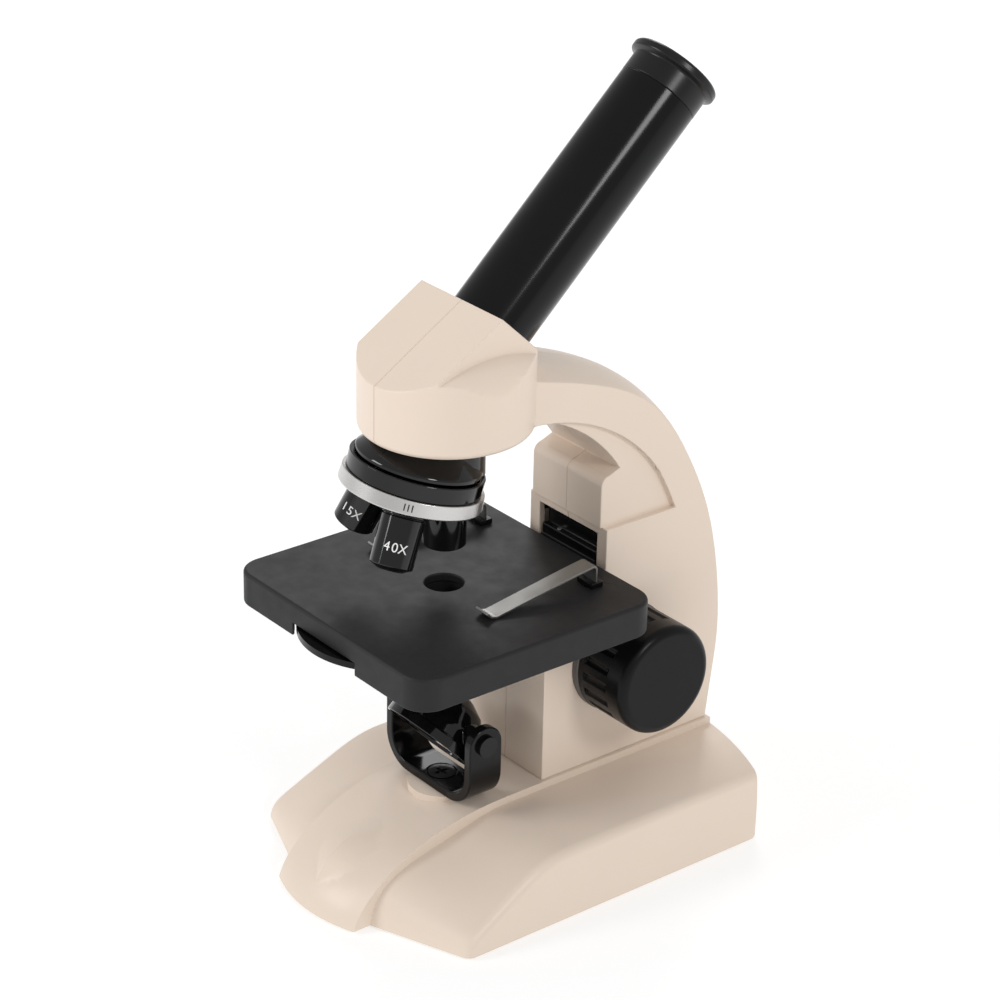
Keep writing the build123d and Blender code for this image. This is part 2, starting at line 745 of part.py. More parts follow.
with BuildPart() as eyepiece_tube:
    with BuildSketch(along_tube(TUBE_IN)):
        Circle(TUBE_R)
        Circle(EYEPIECE_R + RUNNING, mode=Mode.SUBTRACT)
    extrude(amount=TUBE_OUT - TUBE_IN)
    with BuildSketch(along_tube(TUBE_IN)):
        Circle(TUBE_R)
        Circle(9, mode=Mode.SUBTRACT)
    extrude(amount=2)
eyepiece_tube.part.label = "eyepiece_tube"
export_step(eyepiece_tube.part, "parts/eyepiece_tube.step")


# ---------------------------------------------------------------- eyepiece
with BuildPart() as eyepiece_barrel:
    with BuildSketch(along_tube(BARREL_END)):
        Circle(EYEPIECE_R)
        Circle(EYEPIECE_R - 1.2, mode=Mode.SUBTRACT)
    extrude(amount=84 - BARREL_END)
eyepiece_barrel.part.label = "eyepiece_barrel"
export_step(eyepiece_barrel.part, "parts/eyepiece_barrel.step")

cap_start = TUBE_OUT + SEAM_GAP
cap_rim = [(TUBE_R, cap_start), (TUBE_R, 87.0), (15.5, 88.0), (15.5, 90.0), (14.8, CAP_END)]
cap_bore = [(11, CAP_END), (8.2, 88.6), (8.2, 84), (EYEPIECE_R, 84), (EYEPIECE_R, cap_start)]
eyepiece_cap = turned(along_tube(0), cap_rim + cap_bore)
eyepiece_cap.label = "eyepiece_cap"
export_step(eyepiece_cap, "parts/eyepiece_cap.step")

with BuildPart() as eye_lens:
    with BuildSketch(along_tube(84.5)):
        Circle(8.2)
    extrude(amount=3)
eye_lens.part.label = "eye_lens"
export_step(eye_lens.part, "parts/eye_lens.step")

with BuildPart() as field_lens:
    with BuildSketch(along_tube(BARREL_END + 1)):
        Circle(EYEPIECE_R - 1.2)
    extrude(amount=3)
field_lens.part.label = "field_lens"
export_step(field_lens.part, "parts/field_lens.step")


# ---------------------------------------------------------------- turret
DOME_LOW = RING_TOP + 0.4
dome = turned(turret_plane(0), [(0, DOME_LOW), (20.6, DOME_LOW), (20.6, DOME_LOW + 1.4), (15, 18), (0, 18)])
hub = turned(turret_plane(0), [(0, 3.4), (5, 3.4), (5, DOME_LOW + 1), (0, DOME_LOW + 1)])

with BuildPart() as nosepiece_mount:
    with BuildSketch(flat(135)):
        with Locations((0, -1.3)):
            Circle(13.7)
    extrude(amount=HEAD_BOTTOM - 135)
    with BuildSketch(turret_plane(DOME_LOW)):
        Circle(80)
    extrude(amount=-60, mode=Mode.SUBTRACT)
    add(dome)
    add(hub)
    with BuildSketch(flat(HEAD_BOTTOM)):
        Circle(60)
    extrude(amount=30, mode=Mode.SUBTRACT)
    with BuildSketch(flat(120)):
        Circle(5)
    extrude(amount=60, mode=Mode.SUBTRACT)
    with BuildSketch(turret_plane(0)):
        Circle(2.0)
    extrude(amount=13, mode=Mode.SUBTRACT)
    with BuildSketch(flat(152)):
        with Locations(*NOSE_SCREWS):
            Circle(1.3)
    extrude(amount=20, mode=Mode.SUBTRACT)
nosepiece_mount.part.label = "nosepiece_mount"
export_step(nosepiece_mount.part, "parts/nosepiece_mount.step")

with BuildPart() as nosepiece_mount_screws:
    for x, y in NOSE_SCREWS:
        seat = Plane(origin=(x, OPTIC_Y + y, HEAD_BOTTOM + ARM_WALL + 2), z_dir=(0, 0, -1))
        add(screw(seat, 2.2, 1.8, 1.25, 9.5))
nosepiece_mount_screws.part.label = "nosepiece_mount_screws"
export_step(nosepiece_mount_screws.part, "parts/nosepiece_mount_screws.step")

with BuildPart() as nosepiece_disc:
    add(turned(turret_plane(0), DISC_PROFILE))
    with BuildSketch(turret_plane(-5)):
        Circle(PIVOT_R + RUNNING)
    extrude(amount=20, mode=Mode.SUBTRACT)
    for turn in OBJECTIVE_TURNS.values():
        with BuildSketch(objective_plane(turn).offset(-6)):
            Circle(THREAD_R)
        extrude(amount=12, mode=Mode.SUBTRACT)
        with BuildSketch(objective_plane(turn).offset(-1)):
            Circle(OBJECTIVE_R + 0.2)
        extrude(amount=12, mode=Mode.SUBTRACT)
nosepiece_disc.part.label = "nosepiece_disc"
export_step(nosepiece_disc.part, "parts/nosepiece_disc.step")

nosepiece_ring = turned(turret_plane(0), [(21.5, 0), (23, 0), (RING_R, 0.4), (23, RING_H), (21.5, RING_H)])
nosepiece_ring.label = "nosepiece_ring"
export_step(nosepiece_ring, "parts/nosepiece_ring.step")

pivot_screw = [(0, -3), (4, -3), (4.5, -2.5), (4.5, -1.05), (PIVOT_R, -1.05), (PIVOT_R, 3.4), (2, 3.4), (2, 12), (0, 12)]
nosepiece_pivot_screw = turned(turret_plane(0), pivot_screw)
nosepiece_pivot_screw.label = "nosepiece_pivot_screw"
export_step(nosepiece_pivot_screw, "parts/nosepiece_pivot_screw.step")

with BuildPart() as click_spring:
    with BuildSketch(turret_plane(DOME_LOW - 0.5)):
        with Locations((0, 13)):
            Rectangle(14, 5)
    extrude(amount=0.5)
    with BuildSketch(turret_plane(5)):
        with Locations((0, 13)):
            Circle(1.5)
    extrude(amount=DOME_LOW - 5.2)
click_spring.part.label = "click_spring"
export_step(click_spring.part, "parts/click_spring.step")


def objective(name):
    """One objective's metal body, turned about its own axis and hollow from end to end."""
    end = OBJECTIVE_LENGTHS[name]
    thread = [(OBJECTIVE_BORE, -4), (THREAD_R, -4), (THREAD_R, -1), (OBJECTIVE_R + 0.2, -1)]
    collar = [(OBJECTIVE_R + 0.2, 3.4), (OBJECTIVE_R - 0.4, 3.4), (OBJECTIVE_R - 0.4, 3.9), (OBJECTIVE_R, 3.9)]
    nose = [(OBJECTIVE_R, end - 1.5), (4.3, end), (OBJECTIVE_BORE, end)]
    return turned(objective_plane(OBJECTIVE_TURNS[name]), thread + collar + nose)


def objective_lens(name):
    """The front lens of one objective, just inside its tip."""
    end = OBJECTIVE_LENGTHS[name]
    profile = [(0, end - 2.4), (OBJECTIVE_BORE, end - 2.4), (OBJECTIVE_BORE, end - 0.6), (0, end - 0.4)]
    return turned(objective_plane(OBJECTIVE_TURNS[name]), profile)


objective_low = objective("low")
objective_low.label = "objective_low"
export_step(objective_low, "parts/objective_low.step")

objective_medium = objective("medium")
objective_medium.label = "objective_medium"
export_step(objective_medium, "parts/objective_medium.step")

objective_high = objective("high")
objective_high.label = "objective_high"
export_step(objective_high, "parts/objective_high.step")

lens_low = objective_lens("low")
lens_low.label = "lens_low"
export_step(lens_low, "parts/lens_low.step")

lens_medium = objective_lens("medium")
lens_medium.label = "lens_medium"
export_step(lens_medium, "parts/lens_medium.step")

lens_high = objective_lens("high")
lens_high.label = "lens_high"
export_step(lens_high, "parts/lens_high.step")


# ---------------------------------------------------------------- stage
STAGE_DEPTH = STAGE_BACK - STAGE_FRONT
STAGE_MIDDLE = (STAGE_BACK + STAGE_FRONT) / 2

with BuildPart() as stage_plate:
    with BuildSketch(flat(STAGE_TOP - STAGE_SKIRT)):
        with Locations((0, STAGE_MIDDLE)):
            RectangleRounded(STAGE_HALF * 2, STAGE_DEPTH, STAGE_CORNER)
    extrude(amount=STAGE_SKIRT)
    fillet(stage_plate.faces().sort_by(Axis.Z)[-1].edges(), 1.2)
    with BuildSketch(flat(STAGE_TOP - STAGE_SKIRT)):
        with Locations((0, STAGE_MIDDLE)):
            RectangleRounded(STAGE_HALF * 2 - 6, STAGE_DEPTH - 6, STAGE_CORNER - 3)
    extrude(amount=STAGE_SKIRT - STAGE_T, mode=Mode.SUBTRACT)
    # boss for the diaphragm's pivot, and pads round the clip posts
    with BuildSketch(flat(DISC_Z + DISC_T + 0.2)):
        with Locations((0, DISC_Y)):
            Circle(5)
    extrude(amount=STAGE_TOP - STAGE_T - DISC_Z - DISC_T)
    with BuildSketch(flat(STAGE_TOP - STAGE_T - 3)):
        with Locations((-CLIP_X, CLIP_Y), (CLIP_X, CLIP_Y)):
            Circle(5)
    extrude(amount=3.5)
    with BuildSketch(flat(STAGE_TOP - STAGE_SKIRT)):
        with Locations((0, STAGE_FRONT)):
            Rectangle(33, 12)
        with Locations((0, DISC_Y)):
            Circle(DISC_R + 0.5)
    extrude(amount=DISC_Z + DISC_T + 0.5 - STAGE_TOP + STAGE_SKIRT, mode=Mode.SUBTRACT)
    with BuildSketch(flat(STAGE_TOP - 20)):
        Circle(STAGE_HOLE_R)
        with Locations((-CLIP_X, CLIP_Y), (CLIP_X, CLIP_Y)):
            Circle(CLIP_POST_R + RUNNING)
    extrude(amount=30, mode=Mode.SUBTRACT)
    with BuildSketch(flat(DISC_Z - 5)):
        with Locations((0, DISC_Y)):
            Circle(1.6)
    extrude(amount=12.5, mode=Mode.SUBTRACT)
    with BuildSketch(facing(STAGE_BACK - 6)):
        with Locations(*BRACKET_SCREWS):
            Circle(1.6)
    extrude(amount=-12, mode=Mode.SUBTRACT)
stage_plate.part.label = "stage_plate"
export_step(stage_plate.part, "parts/stage_plate.step")

with BuildPart() as stage_bracket:
    with BuildSketch(flat(CARRIAGE_LOW)):
        with Locations((0, (CARRIAGE_FRONT + CARRIAGE_BACK) / 2)):
            Rectangle(CARRIAGE_HALF * 2, CARRIAGE_BACK - CARRIAGE_FRONT)
    extrude(amount=CARRIAGE_HIGH - CARRIAGE_LOW)
    with BuildSketch(flat(NECK_LOW)):
        with Locations((0, (STAGE_BACK + CARRIAGE_FRONT + 1) / 2)):
            Rectangle(CARRIAGE_HALF * 2, CARRIAGE_FRONT + 1 - STAGE_BACK)
    extrude(amount=NECK_HIGH - NECK_LOW)
    # the raised pad that fills the slot above the stage
    with BuildSketch(flat(NECK_LOW)):
        with Locations((0, CARRIAGE_FRONT - 0.7)):
            Rectangle(CARRIAGE_HALF * 2, 3.4)
    extrude(amount=103.6 - NECK_LOW)
    with BuildSketch(flat(CARRIAGE_LOW - 1)):
        with Locations((-ROD_X, ROD_Y), (ROD_X, ROD_Y)):
            Circle(ROD_R + RUNNING)
    extrude(amount=40, mode=Mode.SUBTRACT)
    # seat for the top of the rack
    with BuildSketch(flat(CARRIAGE_LOW - 1)):
        with Locations((0, CARRIAGE_BACK)):
            Rectangle(8.4, (CARRIAGE_BACK - RACK_SEAT) * 2)
    extrude(amount=RACK_HIGH + 0.2 - CARRIAGE_LOW + 1, mode=Mode.SUBTRACT)
    with BuildSketch(facing(CARRIAGE_BACK)):
        with Locations(*RACK_SCREWS):
            Circle(1.2)
    extrude(amount=15, mode=Mode.SUBTRACT)
    with BuildSketch(facing(STAGE_BACK - 1)):
        with Locations(*BRACKET_SCREWS):
            Circle(1.3)
    extrude(amount=-9, mode=Mode.SUBTRACT)
stage_bracket.part.label = "stage_bracket"
export_step(stage_bracket.part, "parts/stage_bracket.step")

with BuildPart() as stage_bracket_screws:
    for x, z in BRACKET_SCREWS:
        seat = Plane(origin=(x, OPTIC_Y + STAGE_BACK - 3, z), z_dir=(0, 1, 0))
        add(screw(seat, 2.6, 1.8, 1.25, 10))
stage_bracket_screws.part.label = "stage_bracket_screws"
export_step(stage_bracket_screws.part, "parts/stage_bracket_screws.step")

PITCH = pi * MODULE
PITCH_Y = SHAFT_Y + MODULE * PINION_TEETH / 2

with BuildPart() as focus_rack:
    with BuildSketch(upright(-4)):
        with Locations(((RACK_SEAT + 68) / 2, (RACK_LOW + RACK_HIGH) / 2)):
            Rectangle(68 - RACK_SEAT, RACK_HIGH - RACK_LOW)
        with Locations((PITCH_Y + MODULE * 1.25, RACK_LOW)):
            Rectangle(8, CARRIAGE_LOW - RACK_LOW, align=(Align.MAX, Align.MIN), mode=Mode.SUBTRACT)
        for tooth in range(-5, 8):
            middle = SHAFT_Z + (tooth + 0.5) * PITCH
            with Locations((0, middle)):
                Polygon((PITCH_Y - MODULE * 0.9, -0.24), (PITCH_Y + MODULE * 1.3, -0.9),
                        (PITCH_Y + MODULE * 1.3, 0.9), (PITCH_Y - MODULE * 0.9, 0.24), align=None)
    extrude(amount=8)
    with BuildSketch(facing(75)):
        with Locations(*RACK_SCREWS):
            Circle(1.2)
    extrude(amount=20, mode=Mode.SUBTRACT)
focus_rack.part.label = "focus_rack"
export_step(focus_rack.part, "parts/focus_rack.step")

with BuildPart() as rack_screws:
    for x, z in RACK_SCREWS:
        seat = Plane(origin=(x, OPTIC_Y + 68, z), z_dir=(0, -1, 0))
        add(screw(seat, 2.2, 1.4, 1.15, 11))
rack_screws.part.label = "rack_screws"
export_step(rack_screws.part, "parts/rack_screws.step")

with BuildPart() as diaphragm_disc:
    with BuildSketch(flat(DISC_Z)):
        with Locations((0, DISC_Y)):
            Circle(DISC_R)
            Circle(2 + RUNNING, mode=Mode.SUBTRACT)
            for step, hole in enumerate((2, 3, 4, 5, 1.2)):
                turn = radians(90 + step * 72)
                with Locations((-DISC_Y * cos(turn), -DISC_Y * sin(turn))):
                    Circle(hole, mode=Mode.SUBTRACT)
    extrude(amount=DISC_T)
diaphragm_disc.part.label = "diaphragm_disc"
export_step(diaphragm_disc.part, "parts/diaphragm_disc.step")

with BuildPart() as diaphragm_pivot_screw:
    with BuildSketch(flat(DISC_Z - 1.3)):
        with Locations((0, DISC_Y)):
            Circle(4)
    extrude(amount=1.25)
    with BuildSketch(flat(DISC_Z - 0.5)):
        with Locations((0, DISC_Y)):
            Circle(2)
    extrude(amount=DISC_T + 0.7)
    with BuildSketch(flat(DISC_Z)):
        with Locations((0, DISC_Y)):
            Circle(1.5)
    extrude(amount=7)
diaphragm_pivot_screw.part.label = "diaphragm_pivot_screw"
export_step(diaphragm_pivot_screw.part, "parts/diaphragm_pivot_screw.step")


def clip_strip(side):
    """A springy strip: up from its foot, over a tight bend, down to the stage and up at its tip."""
    outer = [(37.4, 103.4), (37.4, 109.2), (36.9, 110.1), (35.8, 110.4), (31, 109.6), (22, 108), (-2, 103.5)]
    tip = [(-4, 104), (-5.4, 105.5), (-5.9, 105.0), (-4.3, 103.4), (-2, 102.8)]
    inner = [(22, 107.3), (31, 108.9), (35.8, 109.7), (36.4, 109.5), (36.7, 109), (36.7, 103.4)]
    with BuildPart() as strip:
        with BuildSketch(upright(side * CLIP_X - 3.25)):
            with BuildLine():
                Polyline(*(outer + tip + inner), close=True)
            make_face()
        extrude(amount=6.5)
    return strip.part


def clip_post(side):
    """A black pin that turns in the stage, with the small foot that grips one spring clip."""
    with BuildPart() as post:
        with BuildSketch(flat(STAGE_TOP - STAGE_T - 4.6)):
            with Locations((side * CLIP_X, CLIP_Y)):
                Circle(4.5)
        extrude(amount=1.5)
        with BuildSketch(flat(STAGE_TOP - STAGE_T - 4)):
            with Locations((side * CLIP_X, CLIP_Y)):
                Circle(CLIP_POST_R)
        extrude(amount=STAGE_T + 4.2)
        with BuildSketch(flat(STAGE_TOP + SEAM_GAP)):
            with Locations((side * CLIP_X, CLIP_Y)):
                Rectangle(8, 4.6)
        extrude(amount=1.9)
        add(clip_strip(side), mode=Mode.SUBTRACT)
    pivot = Axis((side * CLIP_X, OPTIC_Y + CLIP_Y, 0), (0, 0, 1))
    return post.part.rotate(pivot, CLIP_TURN)


def stage_clip(side):
    """One spring clip, turned a little about its post."""
    pivot = Axis((side * CLIP_X, OPTIC_Y + CLIP_Y, 0), (0, 0, 1))
    return clip_strip(side).rotate(pivot, CLIP_TURN)


clip_post_right = clip_post(1)
clip_post_right.label = "clip_post_right"
export_step(clip_post_right, "parts/clip_post_right.step")

clip_post_left = clip_post(-1)
clip_post_left.label = "clip_post_left"
export_step(clip_post_left, "parts/clip_post_left.step")

stage_clip_right = stage_clip(1)
stage_clip_right.label = "stage_clip_right"
export_step(stage_clip_right, "parts/stage_clip_right.step")

stage_clip_left = stage_clip(-1)
stage_clip_left.label = "stage_clip_left"
export_step(stage_clip_left, "parts/stage_clip_left.step")


# ---------------------------------------------------------------- focusing drive
with BuildPart() as pinion_shaft:
    with BuildSketch(upright(-KNOB_OUT + 4)):
        with Locations((SHAFT_Y, SHAFT_Z)):
            Circle(SHAFT_R)
    extrude(amount=(KNOB_OUT - 4) * 2)
    with BuildSketch(upright(-5)):
        with Locations((SHAFT_Y, SHAFT_Z)):
            Circle(MODULE * (PINION_TEETH / 2 - 1.25))
            for tooth in range(PINION_TEETH):
                with Locations(Location((0, 0, 0), (0, 0, tooth * 360 / PINION_TEETH))):
                    Polygon((3, -0.8), (4.8, -0.5), (5.45, -0.22), (5.45, 0.22), (4.8, 0.5), (3, 0.8), align=None)
    extrude(amount=10)
pinion_shaft.part.label = "pinion_shaft"
export_step(pinion_shaft.part, "parts/pinion_shaft.step")


def knob(side):
    """A fluted focusing knob with a rounded rim, pressed on the shaft."""
    with BuildPart() as body:
        with BuildSketch(upright(side * KNOB_IN)):
            with Locations((SHAFT_Y, SHAFT_Z)):
                Circle(KNOB_R)
        extrude(amount=side * (KNOB_OUT - KNOB_IN))
        outer = body.faces().sort_by(Axis.X)[-1 if side > 0 else 0]
        fillet(outer.edges(), 3)
        # finger flutes round the side, closed at both ends
        with BuildSketch(upright(side * (KNOB_IN + 2.5))):
            with Locations((SHAFT_Y, SHAFT_Z)):
                with PolarLocations(KNOB_R + 0.9, FLUTES):
                    Circle(1.7)
        extrude(amount=side * 11, mode=Mode.SUBTRACT)
        with BuildSketch(upright(side * (KNOB_IN - 1))):
            with Locations((SHAFT_Y, SHAFT_Z)):
                Circle(SHAFT_R)
        extrude(amount=side * (KNOB_OUT - KNOB_IN - 3), mode=Mode.SUBTRACT)
    return body.part


knob_right = knob(1)
knob_right.label = "knob_right"
export_step(knob_right, "parts/knob_right.step")

knob_left = knob(-1)
knob_left.label = "knob_left"
export_step(knob_left, "parts/knob_left.step")


# ---------------------------------------------------------------- lamp and mirror
FORK_BOTTOM = BOSS_TOP + SEAM_GAP

with BuildPart() as lamp_fork:
    with BuildSketch(facing(LAMP_Y + FORK_WIDTH / 2)):
        with Locations((0, (FORK_BOTTOM + LAMP_Z) / 2)):
            Rectangle(FORK_HALF * 2, LAMP_Z - FORK_BOTTOM)
    extrude(amount=FORK_WIDTH)
    fillet(lamp_fork.edges().filter_by(Axis.Y).sort_by(Axis.Z)[:2], FORK_CORNER)
    with BuildSketch(upright(-FORK_HALF)):
        with Locations((LAMP_Y, LAMP_Z)):
            Circle(FORK_WIDTH / 2)
    extrude(amount=FORK_HALF * 2)
    with BuildSketch(facing(LAMP_Y + FORK_WIDTH)) as gap:
        with Locations((0, FORK_BOTTOM + FORK_T + 25)):
            Rectangle((FORK_HALF - FORK_T) * 2, 50)
        fillet(gap.vertices().sort_by(Axis.Y)[:2], FORK_CORNER - FORK_T)
    extrude(amount=FORK_WIDTH * 2, mode=Mode.SUBTRACT)
    with BuildSketch(upright(-FORK_HALF - 1)):
        with Locations((LAMP_Y, LAMP_Z)):
            Circle(2 + RUNNING)
    extrude(amount=FORK_HALF * 2 + 2, mode=Mode.SUBTRACT)
    with BuildSketch(flat(FORK_BOTTOM - 1)):
        Circle(2.5 + RUNNING)
    extrude(amount=9, mode=Mode.SUBTRACT)
    with BuildSketch(flat(FORK_BOTTOM + FORK_T - 1.4)):
        Circle(4.9)
    extrude(amount=9, mode=Mode.SUBTRACT)
lamp_fork.part.label = "lamp_fork"
export_step(lamp_fork.part, "parts/lamp_fork.step")

with BuildPart() as fork_pivot_screw:
    seat = Plane(origin=(0, OPTIC_Y, FORK_BOTTOM + FORK_T - 1.35), z_dir=(0, 0, -1))
    add(screw(seat, 4.6, 1.3, 2.5, 9, 2.4))
fork_pivot_screw.part.label = "fork_pivot_screw"
export_step(fork_pivot_screw.part, "parts/fork_pivot_screw.step")

housing_outer = [(15.4, -8), (BEZEL_R, -8), (BEZEL_R, -4.5), (16.2, -4.3), (15, 0), (10.5, 6.5), (5.6, 9.2)]
housing_inner = [(4.4, 9.6), (4.4, 7.5), (9.2, 5.2), (13.4, -0.6), (14.2, -5.2), (15.4, -5.2)]

with BuildPart() as lamp_housing:
    add(turned(lamp_plane(0), housing_outer + housing_inner))
    for side in (-1, 1):
        with BuildSketch(upright(side * 13.6)):
            with Locations((LAMP_Y, LAMP_Z)):
                Circle(4)
        extrude(amount=side * (FORK_HALF - FORK_T - 13.6 - 0.1))
    with BuildSketch(upright(-FORK_HALF)):
        with Locations((LAMP_Y, LAMP_Z)):
            Circle(2)
    extrude(amount=FORK_HALF * 2, mode=Mode.SUBTRACT)
lamp_housing.part.label = "lamp_housing"
export_step(lamp_housing.part, "parts/lamp_housing.step")

with BuildPart() as lamp_pivot_pins:
    for side in (-1, 1):
        with BuildSketch(upright(side * 12)):
            with Locations((LAMP_Y, LAMP_Z)):
                Circle(2)
        extrude(amount=side * (FORK_HALF + 0.5 - 12))
        with BuildSketch(upright(side * (FORK_HALF + 0.05))):
            with Locations((LAMP_Y, LAMP_Z)):
                Circle(3.6)
        extrude(amount=side * 1.4)
lamp_pivot_pins.part.label = "lamp_pivot_pins"
export_step(lamp_pivot_pins.part, "parts/lamp_pivot_pins.step")

mirror_glass = turned(lamp_plane(0), [(0, -7.4), (15.4, -7.4), (15.4, -5.2), (0, -5.2)])
mirror_glass.label = "mirror_glass"
export_step(mirror_glass, "parts/mirror_glass.step")

lamp_lens = turned(lamp_plane(0), [(0, 7.8), (4.4, 7.8), (4.4, 9.6), (2.5, 10.6), (0, 11)])
lamp_lens.label = "lamp_lens"
export_step(lamp_lens, "parts/lamp_lens.step")

lamp_led = turned(lamp_plane(0), [(0, -5.2), (9, -5.2), (9, -4.2), (2.5, -4.2), (2.5, 1.5), (1.4, 3), (0, 3.4)])
lamp_led.label = "lamp_led"
export_step(lamp_led, "parts/lamp_led.step")
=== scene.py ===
"""Looks for a student microscope: moulded shells, a lacquered tube, a turret, a stage and a lamp.

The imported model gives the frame: every piece here rides on one of its bodies. Lengths are in
metres and heights are counted from the bench. Distances along Y are counted from the optical
axis, which stands OPTIC_Y from the middle of the footprint.
"""

from __future__ import annotations

import json
import logging
import math
from dataclasses import dataclass, field

import bpy
from mathutils import Matrix, Vector

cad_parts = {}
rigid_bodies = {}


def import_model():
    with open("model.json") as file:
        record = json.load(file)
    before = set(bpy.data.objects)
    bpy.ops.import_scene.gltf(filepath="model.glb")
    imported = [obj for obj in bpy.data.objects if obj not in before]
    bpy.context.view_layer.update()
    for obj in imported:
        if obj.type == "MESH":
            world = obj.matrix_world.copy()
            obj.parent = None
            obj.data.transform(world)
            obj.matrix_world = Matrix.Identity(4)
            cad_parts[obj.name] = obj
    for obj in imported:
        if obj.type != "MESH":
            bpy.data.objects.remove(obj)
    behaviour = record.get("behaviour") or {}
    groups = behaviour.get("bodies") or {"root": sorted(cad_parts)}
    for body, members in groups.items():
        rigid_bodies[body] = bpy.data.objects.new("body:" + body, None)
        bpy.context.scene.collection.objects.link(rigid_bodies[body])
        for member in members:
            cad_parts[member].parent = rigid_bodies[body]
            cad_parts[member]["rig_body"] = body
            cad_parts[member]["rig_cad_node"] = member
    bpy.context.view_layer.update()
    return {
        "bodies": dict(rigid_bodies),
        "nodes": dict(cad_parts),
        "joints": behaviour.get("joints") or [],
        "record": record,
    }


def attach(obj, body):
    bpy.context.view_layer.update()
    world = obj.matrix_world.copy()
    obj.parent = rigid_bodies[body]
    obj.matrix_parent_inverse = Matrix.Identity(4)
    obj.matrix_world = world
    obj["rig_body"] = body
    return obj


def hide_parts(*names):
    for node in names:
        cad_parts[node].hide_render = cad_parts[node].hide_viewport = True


LOG = logging.getLogger("microscope")
OPTIC_Y = -0.02544
Colour = tuple[float, float, float]


SHARP_ANGLE = 38.0  # edges that turn more than this many degrees are rounded
LETTER_SIZE = 0.0042
LETTER_DEPTH = 0.0001
LETTER_PITCH = 21.0  # degrees round an objective from one letter to the next
BARREL_RADIUS = 0.00702  # of an objective, just proud of its skin
RING_RADIUS = 0.02325  # of the bright ring
STROKE_PITCH = 3.1  # degrees round the ring from one stroke to the next
STROKE_TURN = 3.6  # degrees from the front right to the middle stroke
STROKE_SIZE = (0.0004, 0.0022, 0.0003, 1)


# ---------------------------------------------------------------- small helpers
def deselect() -> None:
    """Leaves object mode with nothing selected."""
    if bpy.context.object and bpy.context.object.mode != "OBJECT":
        bpy.ops.object.mode_set(mode="OBJECT")
    bpy.ops.object.select_all(action="DESELECT")


def activate(piece: bpy.types.Object) -> None:
    """Makes one object the only selected and the active one.

    Args:
        piece: The object to work on.
    """
    deselect()
    piece.select_set(True)
    bpy.context.view_layer.objects.active = piece


def named(name: str) -> bpy.types.Object:
    """Names the active object and its mesh.

    Args:
        name: The piece's name.

    Returns:
        The active object.
    """
    piece = bpy.context.object
    piece.name = name
    piece.data.name = name
    return piece


def settle(piece: bpy.types.Object) -> None:
    """Moves an object's place, turn and scale into its mesh."""
    activate(piece)
    bpy.ops.object.transform_apply(location=True, rotation=True, scale=True)


def apply_all(piece: bpy.types.Object) -> None:
    """Applies every modifier of a piece, in order."""
    activate(piece)
    for modifier in list(piece.modifiers):
        bpy.ops.object.modifier_apply(modifier=modifier.name)


def smooth(piece: bpy.types.Object, angle: float = 32.0) -> None:
    """Shades a piece smooth, except across edges sharper than an angle.

    Args:
        piece: The piece to shade.
        angle: The largest smooth angle, in degrees.
    """
    activate(piece)
    bpy.ops.object.shade_smooth_by_angle(angle=math.radians(angle))


def tidy_mesh(piece: bpy.types.Object) -> None:
    """Merges doubled points and turns all faces outwards."""
    activate(piece)
    bpy.ops.object.mode_set(mode="EDIT")
    bpy.ops.mesh.select_all(action="SELECT")
    bpy.ops.mesh.remove_doubles(threshold=0.000005)
    bpy.ops.mesh.normals_make_consistent(inside=False)
    bpy.ops.object.mode_set(mode="OBJECT")


def bevel(piece: bpy.types.Object, width: float, segments: int = 3, angle: float = 35.0) -> None:
    """Rounds a piece's sharp edges.

    Args:
        piece: The piece to round.
        width: The rounding's width.
        segments: The number of steps round an edge.
        angle: Edges sharper than this many degrees are rounded.
    """
    rounding = piece.modifiers.new("rounding", "BEVEL")
    rounding.width = width
    rounding.segments = segments
    rounding.limit_method = "ANGLE"
    rounding.angle_limit = math.radians(angle)
    rounding.harden_normals = False
    apply_all(piece)


